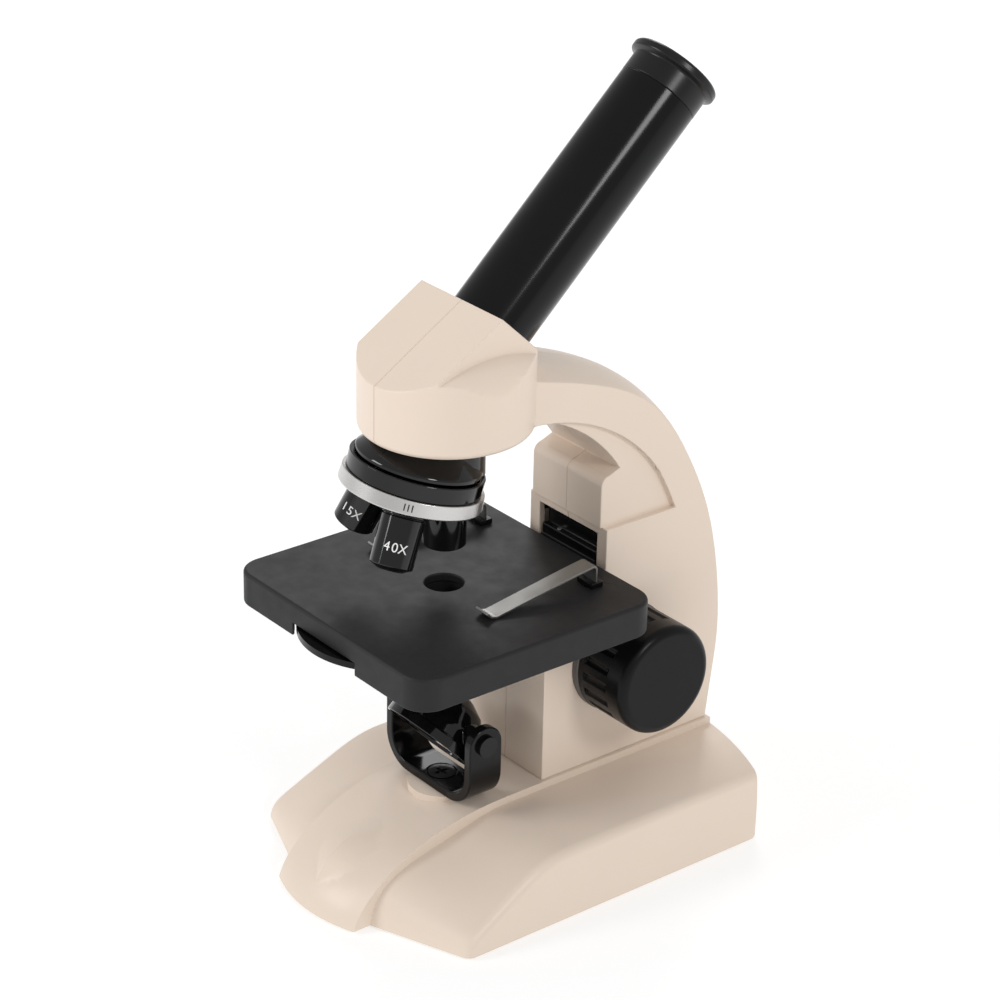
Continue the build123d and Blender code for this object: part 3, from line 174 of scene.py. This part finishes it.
# ---------------------------------------------------------------- shader groups
class Effect:
    """A shader node group that several finishes share."""

    def __init__(self, name: str, inputs: dict[str, object], outputs: dict[str, str]) -> None:
        """Opens a node group with its sockets.

        Args:
            name: The group's name.
            inputs: Socket name to its default: a number or a colour.
            outputs: Socket name to its socket type.
        """
        self.tree = bpy.data.node_groups.new(name, "ShaderNodeTree")
        self.tree.interface.new_socket("Vector", in_out="INPUT", socket_type="NodeSocketVector")
        for label, value in inputs.items():
            kind = "NodeSocketColor" if isinstance(value, tuple) else "NodeSocketFloat"
            socket = self.tree.interface.new_socket(label, in_out="INPUT", socket_type=kind)
            socket.default_value = (*value, 1.0) if isinstance(value, tuple) else value
        for label, kind in outputs.items():
            self.tree.interface.new_socket(label, in_out="OUTPUT", socket_type=kind)
        self.source = self.tree.nodes.new("NodeGroupInput")
        self.target = self.tree.nodes.new("NodeGroupOutput")

    def noise(self, scale: float, detail: float = 3.0, rough: float = 0.5) -> bpy.types.Node:
        """Adds a noise texture on the group's vector."""
        node = self.tree.nodes.new("ShaderNodeTexNoise")
        node.inputs["Scale"].default_value = scale
        node.inputs["Detail"].default_value = detail
        node.inputs["Roughness"].default_value = rough
        self.tree.links.new(self.source.outputs["Vector"], node.inputs["Vector"])
        return node

    def maths(self, operation: str, first: object, second: object = None) -> bpy.types.NodeSocket:
        """Adds a math node and gives its result.

        Args:
            operation: The math node's operation.
            first: A number or a socket.
            second: A number or a socket, where the operation takes two.

        Returns:
            The result's socket.
        """
        node = self.tree.nodes.new("ShaderNodeMath")
        node.operation = operation
        for index, value in enumerate((first, second)):
            if value is None:
                continue
            if isinstance(value, (int, float)):
                node.inputs[index].default_value = value
            else:
                self.tree.links.new(value, node.inputs[index])
        return node.outputs[0]

    def spread(self, value: bpy.types.NodeSocket, low: float, high: float) -> bpy.types.NodeSocket:
        """Maps a pattern's middle range, low to high, onto 0 to 1, held inside it."""
        node = self.tree.nodes.new("ShaderNodeMapRange")
        node.inputs["From Min"].default_value = low
        node.inputs["From Max"].default_value = high
        self.tree.links.new(value, node.inputs["Value"])
        return node.outputs["Result"]

    def blend(self, factor: object, first: object, second: object, mode: str = "MIX") -> bpy.types.NodeSocket:
        """Mixes two colours by a factor and gives the mixed colour's socket."""
        node = self.tree.nodes.new("ShaderNodeMix")
        node.data_type = "RGBA"
        node.blend_type = mode
        sockets = {0: factor, 6: first, 7: second}
        for index, value in sockets.items():
            if isinstance(value, (int, float)):
                node.inputs[index].default_value = value
            elif isinstance(value, tuple):
                node.inputs[index].default_value = (*value, 1.0)
            else:
                self.tree.links.new(value, node.inputs[index])
        return node.outputs[2]

    def give(self, label: str, value: bpy.types.NodeSocket) -> None:
        """Joins a result to one of the group's outputs."""
        self.tree.links.new(value, self.target.inputs[label])


class Effects:
    """The node groups, each built once."""

    def __init__(self) -> None:
        """Builds every group."""
        self.skin = self.build_skin()
        self.dust = self.build_dust()
        self.rings = self.build_rings()

    @staticmethod
    def build_skin() -> bpy.types.NodeTree:
        """A moulded or painted skin: its colour drifts a little and its gloss is uneven."""
        numbers = {"Colour": (0.8, 0.8, 0.8), "Drift": 0.05, "Gloss": 0.3, "Uneven": 0.08, "Grain": 1.0}
        kinds = {"Colour": "NodeSocketColor", "Roughness": "NodeSocketFloat", "Height": "NodeSocketFloat"}
        group = Effect("moulded_skin", numbers, kinds)
        cloudy = group.noise(38.0, 4.0, 0.55)
        fine = group.noise(2600.0, 2.0, 0.6)
        patches = group.noise(160.0, 5.0, 0.6)
        drift = group.spread(cloudy.outputs["Fac"], 0.3, 0.7)
        amount = group.maths("MULTIPLY", drift, group.source.outputs["Drift"])
        tint = group.blend(amount, group.source.outputs["Colour"], (0.35, 0.25, 0.17), "MULTIPLY")
        group.give("Colour", tint)
        patchy = group.spread(patches.outputs["Fac"], 0.35, 0.7)
        wavy = group.maths("MULTIPLY", patchy, group.source.outputs["Uneven"])
        group.give("Roughness", group.maths("ADD", group.source.outputs["Gloss"], wavy))
        group.give("Height", group.maths("MULTIPLY", fine.outputs["Fac"], group.source.outputs["Grain"]))
        return group.tree

    @staticmethod
    def build_dust() -> bpy.types.NodeTree:
        """A faint, patchy film of dust and fine specks over a dark finish."""
        numbers = {"Colour": (0.02, 0.02, 0.02), "Film": 0.05, "Gloss": 0.2}
        kinds = {"Colour": "NodeSocketColor", "Roughness": "NodeSocketFloat"}
        group = Effect("dust_film", numbers, kinds)
        cloud = group.noise(55.0, 6.0, 0.62)
        specks = group.noise(1500.0, 2.0, 0.7)
        amount = group.source.outputs["Film"]
        film = group.maths("MULTIPLY", group.spread(cloud.outputs["Fac"], 0.42, 0.72), amount)
        speck = group.maths("MULTIPLY", group.spread(specks.outputs["Fac"], 0.68, 0.78), amount)
        cover = group.maths("ADD", film, speck)
        group.give("Colour", group.blend(cover, group.source.outputs["Colour"], (0.42, 0.40, 0.37)))
        rougher = group.maths("MULTIPLY", cover, 1.6)
        group.give("Roughness", group.maths("ADD", group.source.outputs["Gloss"], rougher))
        return group.tree

    @staticmethod
    def build_rings() -> bpy.types.NodeTree:
        """Fine lathe rings round the Z axis of the vector."""
        numbers = {"Colour": (0.7, 0.7, 0.7), "Gloss": 0.25, "Depth": 0.2, "Pitch": 900.0}
        kinds = {"Colour": "NodeSocketColor", "Roughness": "NodeSocketFloat", "Height": "NodeSocketFloat"}
        group = Effect("turned_rings", numbers, kinds)
        split = group.tree.nodes.new("ShaderNodeSeparateXYZ")
        group.tree.links.new(group.source.outputs["Vector"], split.inputs[0])
        across = group.maths("MULTIPLY", split.outputs["X"], split.outputs["X"])
        along = group.maths("MULTIPLY", split.outputs["Y"], split.outputs["Y"])
        radius = group.maths("SQRT", group.maths("ADD", across, along))
        sweep = group.maths("ADD", radius, group.maths("MULTIPLY", split.outputs["Z"], 1.3))
        lines = group.tree.nodes.new("ShaderNodeTexNoise")
        lines.noise_dimensions = "1D"
        lines.inputs["Detail"].default_value = 4.0
        lines.inputs["Roughness"].default_value = 0.75
        fineness = group.maths("MULTIPLY", sweep, group.source.outputs["Pitch"])
        group.tree.links.new(fineness, lines.inputs["W"])
        value = group.spread(lines.outputs["Fac"], 0.25, 0.75)
        group.give("Height", group.maths("MULTIPLY", value, group.source.outputs["Depth"]))
        rougher = group.maths("MULTIPLY", value, 0.12)
        group.give("Roughness", group.maths("ADD", group.source.outputs["Gloss"], rougher))
        darker = group.maths("MULTIPLY", value, 0.25)
        group.give("Colour", group.blend(darker, group.source.outputs["Colour"], (0.3, 0.29, 0.28)))
        return group.tree


# ---------------------------------------------------------------- finishes
@dataclass(frozen=True)
class Finish:
    """What every finish has: a name, a colour and how it shines.

    Args:
        name: The material's name.
        colour: Linear base colour.
        gloss: Roughness of the clean surface.
        metallic: 1 for bare metal.
        coat: Weight of a clear coat.
        coat_gloss: Roughness of that coat.
        ior: Index of refraction.
        shine: How strongly a non-metal mirrors its surroundings, 0.5 being plain.
        slot: The record's material slot it belongs to; not used.
    """

    name: str
    colour: Colour
    gloss: float
    slot: str
    metallic: float = 0.0
    coat: float = 0.0
    coat_gloss: float = 0.08
    ior: float = 1.5
    shine: float = 0.5

    def shader(self) -> tuple[bpy.types.Material, bpy.types.Node, bpy.types.Node]:
        """Opens the material with its shader's plain sockets set.

        Returns:
            The material, its Principled shader and its coordinates node.
        """
        material = bpy.data.materials.new(self.name)
        material.use_nodes = True
        body = material.node_tree.nodes["Principled BSDF"]
        body.inputs["Base Color"].default_value = (*self.colour, 1.0)
        body.inputs["Roughness"].default_value = self.gloss
        body.inputs["Metallic"].default_value = self.metallic
        body.inputs["Coat Weight"].default_value = self.coat
        body.inputs["Coat Roughness"].default_value = self.coat_gloss
        body.inputs["IOR"].default_value = self.ior
        body.inputs["Specular IOR Level"].default_value = self.shine
        place = material.node_tree.nodes.new("ShaderNodeTexCoord")
        return material, body, place

    @staticmethod
    def bump(material: bpy.types.Material, height: bpy.types.NodeSocket, distance: float,
             strength: float) -> None:
        """Feeds a height into the shader's normal through a Bump node."""
        nodes = material.node_tree.nodes
        node = nodes.new("ShaderNodeBump")
        node.inputs["Distance"].default_value = distance
        node.inputs["Strength"].default_value = strength
        material.node_tree.links.new(height, node.inputs["Height"])
        material.node_tree.links.new(node.outputs["Normal"], nodes["Principled BSDF"].inputs["Normal"])


@dataclass(frozen=True)
class Moulding(Finish):
    """A moulded plastic or sprayed skin with slight drift in colour and gloss."""

    drift: float = 0.05
    uneven: float = 0.08
    grain: float = 0.00001
    grain_strength: float = 0.25

    def build(self, effects: Effects) -> bpy.types.Material:
        """Makes the material."""
        material, body, place = self.shader()
        group = material.node_tree.nodes.new("ShaderNodeGroup")
        group.node_tree = effects.skin
        group.inputs["Colour"].default_value = (*self.colour, 1.0)
        group.inputs["Drift"].default_value = self.drift
        group.inputs["Gloss"].default_value = self.gloss
        group.inputs["Uneven"].default_value = self.uneven
        links = material.node_tree.links
        links.new(place.outputs["Object"], group.inputs["Vector"])
        links.new(group.outputs["Colour"], body.inputs["Base Color"])
        links.new(group.outputs["Roughness"], body.inputs["Roughness"])
        self.bump(material, group.outputs["Height"], self.grain, self.grain_strength)
        return material


@dataclass(frozen=True)
class Lacquer(Finish):
    """A dark, glossy finish under a faint film of dust."""

    film: float = 0.03

    def build(self, effects: Effects) -> bpy.types.Material:
        """Makes the material."""
        material, body, place = self.shader()
        group = material.node_tree.nodes.new("ShaderNodeGroup")
        group.node_tree = effects.dust
        group.inputs["Colour"].default_value = (*self.colour, 1.0)
        group.inputs["Film"].default_value = self.film
        group.inputs["Gloss"].default_value = self.gloss
        links = material.node_tree.links
        links.new(place.outputs["Object"], group.inputs["Vector"])
        links.new(group.outputs["Colour"], body.inputs["Base Color"])
        links.new(group.outputs["Roughness"], body.inputs["Roughness"])
        return material


@dataclass(frozen=True)
class Turned(Finish):
    """Bare metal turned on a lathe, its rings centred on an axis."""

    centre: tuple[float, float, float] = (0.0, 0.0, 0.0)
    lean: tuple[float, float, float] = (0.0, 0.0, 0.0)
    depth: float = 0.2
    pitch: float = 900.0

    def build(self, effects: Effects) -> bpy.types.Material:
        """Makes the material."""
        material, body, place = self.shader()
        nodes = material.node_tree.nodes
        mapping = nodes.new("ShaderNodeMapping")
        mapping.vector_type = "TEXTURE"
        mapping.inputs["Location"].default_value = self.centre
        mapping.inputs["Rotation"].default_value = self.lean
        group = nodes.new("ShaderNodeGroup")
        group.node_tree = effects.rings
        group.inputs["Colour"].default_value = (*self.colour, 1.0)
        group.inputs["Gloss"].default_value = self.gloss
        group.inputs["Depth"].default_value = self.depth
        group.inputs["Pitch"].default_value = self.pitch
        links = material.node_tree.links
        links.new(place.outputs["Object"], mapping.inputs["Vector"])
        links.new(mapping.outputs["Vector"], group.inputs["Vector"])
        links.new(group.outputs["Colour"], body.inputs["Base Color"])
        links.new(group.outputs["Roughness"], body.inputs["Roughness"])
        self.bump(material, group.outputs["Height"], 0.00002, 0.3)
        return material


@dataclass(frozen=True)
class Clear(Finish):
    """Optical glass."""

    def build(self, effects: Effects) -> bpy.types.Material:
        """Makes the material, with uneven gloss where a fingertip has been."""
        material, body, place = self.shader()
        body.inputs["Transmission Weight"].default_value = 1.0
        group = material.node_tree.nodes.new("ShaderNodeGroup")
        group.node_tree = effects.skin
        group.inputs["Gloss"].default_value = self.gloss
        group.inputs["Uneven"].default_value = 0.04
        links = material.node_tree.links
        links.new(place.outputs["Object"], group.inputs["Vector"])
        links.new(group.outputs["Roughness"], body.inputs["Roughness"])
        return material


FINISHES = {
    "cream": Moulding("cream_moulding", (0.80, 0.675, 0.565), 0.34, "cream", shine=0.35, drift=0.02,
                      uneven=0.06, grain=0.00001, grain_strength=0.15),
    "tube": Lacquer("tube_lacquer", (0.003, 0.003, 0.0034), 0.14, "tube_black", shine=0.22, film=0.002),
    "cap": Lacquer("cap_plastic", (0.006, 0.006, 0.0065), 0.28, "black_plastic", shine=0.3, film=0.006),
    "turret": Lacquer("turret_lacquer", (0.003, 0.003, 0.0035), 0.07, "tube_black", shine=0.45,
                      film=0.003),
    "stage": Moulding("stage_paint", (0.013, 0.013, 0.0145), 0.5, "stage_grey", shine=0.3, drift=0.15,
                      uneven=0.08, grain=0.00004, grain_strength=0.3),
    "black": Lacquer("black_moulding", (0.004, 0.004, 0.0045), 0.24, "black_plastic", shine=0.28,
                     film=0.006),
    "knob": Lacquer("knob_moulding", (0.004, 0.004, 0.0045), 0.3, "black_plastic", shine=0.16,
                    film=0.004),
    "collar": Moulding("collar_grey", (0.10, 0.095, 0.09), 0.45, "grey_plastic"),
    "plate": Moulding("plate_grey", (0.27, 0.26, 0.25), 0.55, "grey_plastic", drift=0.1),
    "print": Moulding("white_print", (0.85, 0.85, 0.84), 0.5, "grey_plastic", drift=0.02),
    "ink": Moulding("mark_ink", (0.02, 0.02, 0.02), 0.6, "grey_plastic"),
    "steel": Turned("machined_steel", (0.62, 0.61, 0.59), 0.3, "steel", metallic=1.0),
    "ring": Turned("ring_silver", (0.66, 0.65, 0.64), 0.24, "satin_silver", metallic=1.0, depth=0.5),
    "bright": Moulding("bright_plate", (0.33, 0.328, 0.32), 0.38, "bright", metallic=1.0, drift=0.05,
                       grain_strength=0.1),
    "brass": Turned("turned_brass", (0.78, 0.57, 0.27), 0.3, "brass", metallic=1.0),
    "rubber": Moulding("foot_rubber", (0.03, 0.03, 0.03), 0.75, "rubber", drift=0.2, grain=0.00004),
    "glass": Clear("optical_glass", (0.93, 0.97, 0.97), 0.02, "glass", ior=1.52),
    "mirror": Lacquer("mirror_silver", (0.88, 0.89, 0.9), 0.03, "mirror", metallic=1.0, film=0.01),
    "led": Moulding("led_resin", (0.9, 0.87, 0.7), 0.15, "led", drift=0.05),
    "sleeve": Moulding("cell_sleeve", (0.05, 0.05, 0.06), 0.3, "cell_wrap", drift=0.1),
}


class Wardrobe:
    """Builds each finish once and dresses pieces with it."""

    def __init__(self, effects: Effects) -> None:
        """Builds every finish."""
        self.materials = {key: finish.build(effects) for key, finish in FINISHES.items()}

    def dress(self, piece: bpy.types.Object, key: str) -> None:
        """Gives a piece one finish all over.

        Args:
            piece: The new piece or the carried-over node.
            key: The finish's key in FINISHES.
        """
        piece.data.materials.clear()
        piece.data.materials.append(self.materials[key])


# ---------------------------------------------------------------- studio
@dataclass(frozen=True)
class Studio:
    """The camera, the lights and the pale floor."""

    azimuth: float = 50.98
    elevation: float = 25.55
    roll: float = 1.2
    distance: float = 1.04324
    aside: float = 0.01985
    aloft: float = 0.118827
    lens: float = 112.45

    def camera(self) -> None:
        """Stands the camera off the front right corner, looking down at the microscope."""
        bpy.ops.object.camera_add()
        camera = bpy.context.object
        camera.name = "studio_camera"
        turn, tilt, roll = (math.radians(v) for v in (self.azimuth, self.elevation, self.roll))
        level = math.cos(tilt)
        back = Vector((math.sin(turn) * level, -math.cos(turn) * level, math.sin(tilt)))
        right = Vector((math.cos(turn), math.sin(turn), 0.0))
        up = back.cross(right)
        rolled_right = right * math.cos(roll) + up * math.sin(roll)
        rolled_up = up * math.cos(roll) - right * math.sin(roll)
        spot = rolled_right * self.aside + rolled_up * self.aloft + back * self.distance
        spot.y += OPTIC_Y
        frame = Matrix((rolled_right, rolled_up, back)).transposed().to_4x4()
        frame.translation = spot
        camera.matrix_world = frame
        camera.data.lens = self.lens
        camera.data.sensor_width = 36.0
        camera.data.clip_end = 20.0
        bpy.context.scene.camera = camera

    @staticmethod
    def lamp(name: str, place: Vector, size: float, watts: float, target: Vector) -> None:
        """Adds one soft square light that faces a point.

        Args:
            name: The light's name.
            place: Where it stands.
            size: Its side.
            watts: Its power.
            target: The point it faces.
        """
        bpy.ops.object.light_add(type="AREA", location=place)
        light = bpy.context.object
        light.name = name
        light.data.size = size
        light.data.energy = watts
        light.rotation_euler = (target - place).to_track_quat("-Z", "Y").to_euler()

    def build(self) -> None:
        """Makes the floor, the sky, the lights and the camera."""
        bpy.ops.mesh.primitive_plane_add(size=8.0, location=(0.0, 0.0, -0.0002))
        floor = named("studio_floor")
        paper = bpy.data.materials.new("studio_paper")
        paper.use_nodes = True
        shade = paper.node_tree.nodes["Principled BSDF"]
        shade.inputs["Base Color"].default_value = (0.6, 0.6, 0.6, 1.0)
        shade.inputs["Emission Color"].default_value = (1.0, 1.0, 1.0, 1.0)
        shade.inputs["Emission Strength"].default_value = 0.52
        shade.inputs["Roughness"].default_value = 0.9
        shade.inputs["Specular IOR Level"].default_value = 0.0
        floor.data.materials.append(paper)
        settle(floor)
        sky = bpy.data.worlds.new("studio_sky")
        sky.use_nodes = True
        sky.node_tree.nodes["Background"].inputs["Color"].default_value = (1.0, 1.0, 1.0, 1.0)
        sky.node_tree.nodes["Background"].inputs["Strength"].default_value = 0.58
        bpy.context.scene.world = sky
        middle = Vector((0.0, 0.0, 0.13))
        self.lamp("key_light", Vector((-0.55, -1.15, 0.75)), 0.5, 6.5, middle)
        self.lamp("side_light", Vector((1.15, 0.0, 0.85)), 0.3, 4.0, middle)
        self.lamp("far_light", Vector((-0.9, 0.8, 1.0)), 0.5, 4.0, middle)
        bpy.context.scene.view_settings.view_transform = "Standard"
        self.camera()


# ---------------------------------------------------------------- carried-over nodes
CARRIED = {
    "cream": ["base_shell", "arm_shell_right", "arm_shell_left"],
    "plate": ["base_plate", "battery_door"],
    "black": ["battery_tray", "stage_bracket", "clip_post_right", "clip_post_left", "lamp_switch",
              "fork_pivot_screw", "lamp_pivot_pins"],
    "turret": ["objective_low", "objective_medium", "objective_high", "nosepiece_disc", "nosepiece_mount",
               "lamp_housing"],
    "ring": ["nosepiece_ring"],
    "knob": ["knob_right", "knob_left"],
    "cap": ["eyepiece_cap"],
    "tube": ["eyepiece_tube", "eyepiece_barrel", "diaphragm_disc", "lamp_fork"],
    "stage": ["stage_plate", "prism_cell"],
    "collar": ["friction_collars"],
    "rubber": ["base_feet"],
    "sleeve": ["batteries"],
    "steel": ["base_plate_screws", "battery_door_screw", "arm_shell_screws", "column_mount_screws", "guide_rods",
              "nosepiece_mount_screws", "nosepiece_pivot_screw", "click_spring", "stage_bracket_screws",
              "rack_screws", "diaphragm_pivot_screw", "pinion_shaft"],
    "bright": ["battery_contacts", "stage_clip_right", "stage_clip_left"],
    "brass": ["pinion_bushes", "focus_rack"],
    "glass": ["prism", "eye_lens", "field_lens", "lens_low", "lens_medium", "lens_high", "lamp_lens"],
    "mirror": ["mirror_glass"],
    "led": ["lamp_led"],
}


def remodel(node: bpy.types.Object, name: str, width: float, segments: int = 2,
            flat: float = 0.12) -> bpy.types.Object:
    """Makes a new piece from a carried-over node: its triangles joined and its sharp edges rounded.

    Args:
        node: The carried-over node, which the piece stands for.
        name: The new piece's name.
        width: The width of the rounding on its edges.
        segments: The steps round an edge.
        flat: Faces that turn less than this many degrees are joined.

    Returns:
        The new piece, riding on the node's body.
    """
    body = node["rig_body"]
    activate(node)
    bpy.ops.object.duplicate()
    piece = named(name)
    bpy.ops.object.parent_clear(type="CLEAR_KEEP_TRANSFORM")
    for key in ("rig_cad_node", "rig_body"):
        if key in piece:
            del piece[key]
    piece.modifiers.clear()
    bpy.ops.object.mode_set(mode="EDIT")
    bpy.ops.mesh.customdata_custom_splitnormals_clear()
    bpy.ops.mesh.select_all(action="SELECT")
    bpy.ops.mesh.remove_doubles(threshold=0.000004)
    bpy.ops.mesh.dissolve_limited(angle_limit=math.radians(flat))
    bpy.ops.object.mode_set(mode="OBJECT")
    if width > 0.0:
        rounding = piece.modifiers.new("rounding", "BEVEL")
        rounding.width = width
        rounding.segments = segments
        rounding.limit_method = "ANGLE"
        rounding.angle_limit = math.radians(SHARP_ANGLE)
        rounding.use_clamp_overlap = False
        rounding.miter_outer = "MITER_SHARP"
    smooth(piece, 30.0)
    weighted = piece.modifiers.new("even_shading", "WEIGHTED_NORMAL")
    weighted.keep_sharp = True
    weighted.weight = 60
    apply_all(piece)
    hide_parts(node.name)
    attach(piece, body)
    return piece


@dataclass
class CastPieces:
    """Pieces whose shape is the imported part's own, joined up and with their edges broken.

    Args:
        rounding: Node to the width of the rounding on its edges.
    """

    rounding: dict[str, float] = field(default_factory=lambda: {
        "base_shell": 0.0, "arm_shell_right": 0.0003, "arm_shell_left": 0.0003, "stage_plate": 0.0004,
        "stage_bracket": 0.0004, "nosepiece_mount": 0.0003, "nosepiece_disc": 0.0003, "nosepiece_ring": 0.0002,
        "objective_low": 0.0002, "objective_medium": 0.0002, "objective_high": 0.0002, "eyepiece_cap": 0.0003,
        "eyepiece_tube": 0.0002, "clip_post_right": 0.0003, "clip_post_left": 0.0003, "lamp_fork": 0.0004,
        "lamp_housing": 0.0003, "friction_collars": 0.0003, "knob_right": 0.0003, "knob_left": 0.0003,
        "stage_clip_right": 0.0001, "stage_clip_left": 0.0001,
    })

    def build(self, nodes: dict[str, bpy.types.Object], wardrobe: Wardrobe) -> None:
        """Builds and dresses each piece.

        Args:
            nodes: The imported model's nodes.
            wardrobe: The finishes.
        """
        keys = {name: key for key, names in CARRIED.items() for name in names}
        for name, width in self.rounding.items():
            piece = remodel(nodes[name], f"{name}_finished", width)
            wardrobe.dress(piece, keys[name])
            LOG.info("%s: %d faces", piece.name, len(piece.data.polygons))


# ---------------------------------------------------------------- printed and cut marks
@dataclass(frozen=True)
class Frame3:
    """A place on a round surface: its outward normal, the way up and the way right."""

    centre: Vector
    axis: Vector
    outward: Vector

    def at(self, turn: float, radius: float, height: float) -> Matrix:
        """The frame of a spot on the surface.

        Args:
            turn: Degrees to the right of the outward direction, seen from outside.
            radius: Distance out from the axis.
            height: Distance up the axis from the centre.

        Returns:
            A matrix whose X runs right, Y up the axis and Z outwards.
        """
        right = self.axis.cross(self.outward)
        angle = math.radians(turn)
        normal = self.outward * math.cos(angle) + right * math.sin(angle)
        across = right * math.cos(angle) - self.outward * math.sin(angle)
        frame = Matrix((across, self.axis, normal)).transposed().to_4x4()
        frame.translation = self.centre + normal * radius + self.axis * height
        return frame


@dataclass(frozen=True)
class Markings:
    """The magnifications printed on the objectives and the strokes cut in the bright ring."""

    apex: Vector = field(default_factory=lambda: Vector((0.0, OPTIC_Y, 0.1822)))
    lean: float = 15.0
    yaw: float = 12.5
    reach: float = 0.047
    view: Vector = field(default_factory=lambda: Vector((0.701, -0.568, 0.431)))

    def axis(self) -> Vector:
        """The turret's axis, pointing up."""
        lean, yaw = math.radians(self.lean), math.radians(self.yaw)
        return Vector((math.sin(lean) * math.sin(yaw), math.sin(lean) * math.cos(yaw), math.cos(lean)))

    def facing(self, centre: Vector, axis: Vector) -> Frame3:
        """A frame round an axis whose outward direction faces the front right."""
        outward = (self.view - axis * self.view.dot(axis)).normalized()
        return Frame3(centre, axis, outward)

    def number(self, text: str, turn: float, shift: float, drop: float) -> bpy.types.Object:
        """Prints a magnification round one objective.

        Args:
            text: The characters to print.
            turn: The objective's turn about the turret's axis, in degrees.
            shift: How far round the barrel the middle of the text sits, in degrees.
            drop: Distance of the text below the objective's shoulder.

        Returns:
            The joined, closed letters.
        """
        down = Matrix.Rotation(math.radians(-turn), 3, self.axis()) @ Vector((0.0, 0.0, -1.0))
        centre = self.apex + down * (self.reach / math.cos(math.radians(self.lean)))
        frame = self.facing(centre, -down)
        letters = []
        for place, letter in enumerate(text):
            bpy.ops.object.text_add()
            written = bpy.context.object
            written.data.body = letter
            written.data.size = LETTER_SIZE
            written.data.extrude = LETTER_DEPTH
            written.data.align_x = "CENTER"
            written.data.align_y = "CENTER"
            bpy.ops.object.convert(target="MESH")
            letters.append(named(f"letter_{place}"))
            step = place - (len(text) - 1) / 2
            letters[-1].matrix_world = frame.at(shift + step * LETTER_PITCH, BARREL_RADIUS, -drop)
        deselect()
        for piece in letters:
            piece.select_set(True)
        bpy.context.view_layer.objects.active = letters[0]
        bpy.ops.object.join()
        piece = named(f"number_{text.lower()}")
        settle(piece)
        tidy_mesh(piece)
        return piece

    def strokes(self) -> bpy.types.Object:
        """Three short strokes on the bright ring."""
        frame = self.facing(self.apex - self.axis() * (self.reach - 0.0026), self.axis())
        bars = []
        for place in (-1, 0, 1):
            bpy.ops.mesh.primitive_cube_add(size=1.0)
            bars.append(named(f"stroke_{place}"))
            spot = frame.at(STROKE_TURN + place * STROKE_PITCH, RING_RADIUS, 0.0)
            bars[-1].matrix_world = spot @ Matrix.Diagonal(STROKE_SIZE)
        deselect()
        for bar in bars:
            bar.select_set(True)
        bpy.context.view_layer.objects.active = bars[0]
        bpy.ops.object.join()
        piece = named("ring_strokes")
        settle(piece)
        return piece

    def build(self, wardrobe: Wardrobe) -> None:
        """Makes every mark and rides it on the nosepiece."""
        high = self.number("40X", 120.0, 0.0, 0.0135)
        medium = self.number("15X", -120.0, -20.0, 0.0120)
        for piece, key in ((high, "print"), (medium, "print"), (self.strokes(), "ink")):
            wardrobe.dress(piece, key)
            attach(piece, "nosepiece")


@dataclass(frozen=True)
class CarriageScrew:
    """The small screw on top of the carriage's raised pad, behind the stage."""

    x: float = -0.0065
    y: float = 0.0533
    z: float = 0.1036

    def build(self, wardrobe: Wardrobe) -> None:
        """Makes the screw's slotted head."""
        bpy.ops.mesh.primitive_cylinder_add(vertices=48, radius=0.0009, depth=0.0006)
        head = named("carriage_screw")
        head.location = (self.x, OPTIC_Y + self.y, self.z)
        settle(head)
        bevel(head, 0.0001, 2)
        smooth(head)
        wardrobe.dress(head, "steel")
        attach(head, "stage")


@dataclass(frozen=True)
class StageWell:
    """The dark rim under the hole in the stage, which hides the room between stage and diaphragm."""

    radius: float = 0.0066
    wall: float = 0.0012
    top: float = 0.0995
    bottom: float = 0.0954

    def build(self, wardrobe: Wardrobe) -> None:
        """Makes the rim as a short open tube."""
        bpy.ops.mesh.primitive_cylinder_add(vertices=96, radius=self.radius, depth=self.top - self.bottom,
                                            end_fill_type="NOTHING")
        rim = named("stage_well")
        rim.location = (0.0, OPTIC_Y, (self.top + self.bottom) / 2)
        settle(rim)
        wall = rim.modifiers.new("wall", "SOLIDIFY")
        wall.thickness = self.wall
        wall.offset = 1.0
        apply_all(rim)
        smooth(rim)
        wardrobe.dress(rim, "stage")
        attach(rim, "stage")


def main() -> None:
    """Loads the frame, builds the pieces and dresses everything."""
    logging.basicConfig(level=logging.INFO, format="%(name)s: %(message)s")
    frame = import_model()
    deselect()
    Studio().build()
    wardrobe = Wardrobe(Effects())
    nodes = frame["nodes"]
    for key, names in CARRIED.items():
        for name in names:
            wardrobe.dress(nodes[name], key)
    CastPieces().build(nodes, wardrobe)
    Markings().build(wardrobe)
    CarriageScrew().build(wardrobe)
    StageWell().build(wardrobe)


if __name__ == "__main__":
    main()
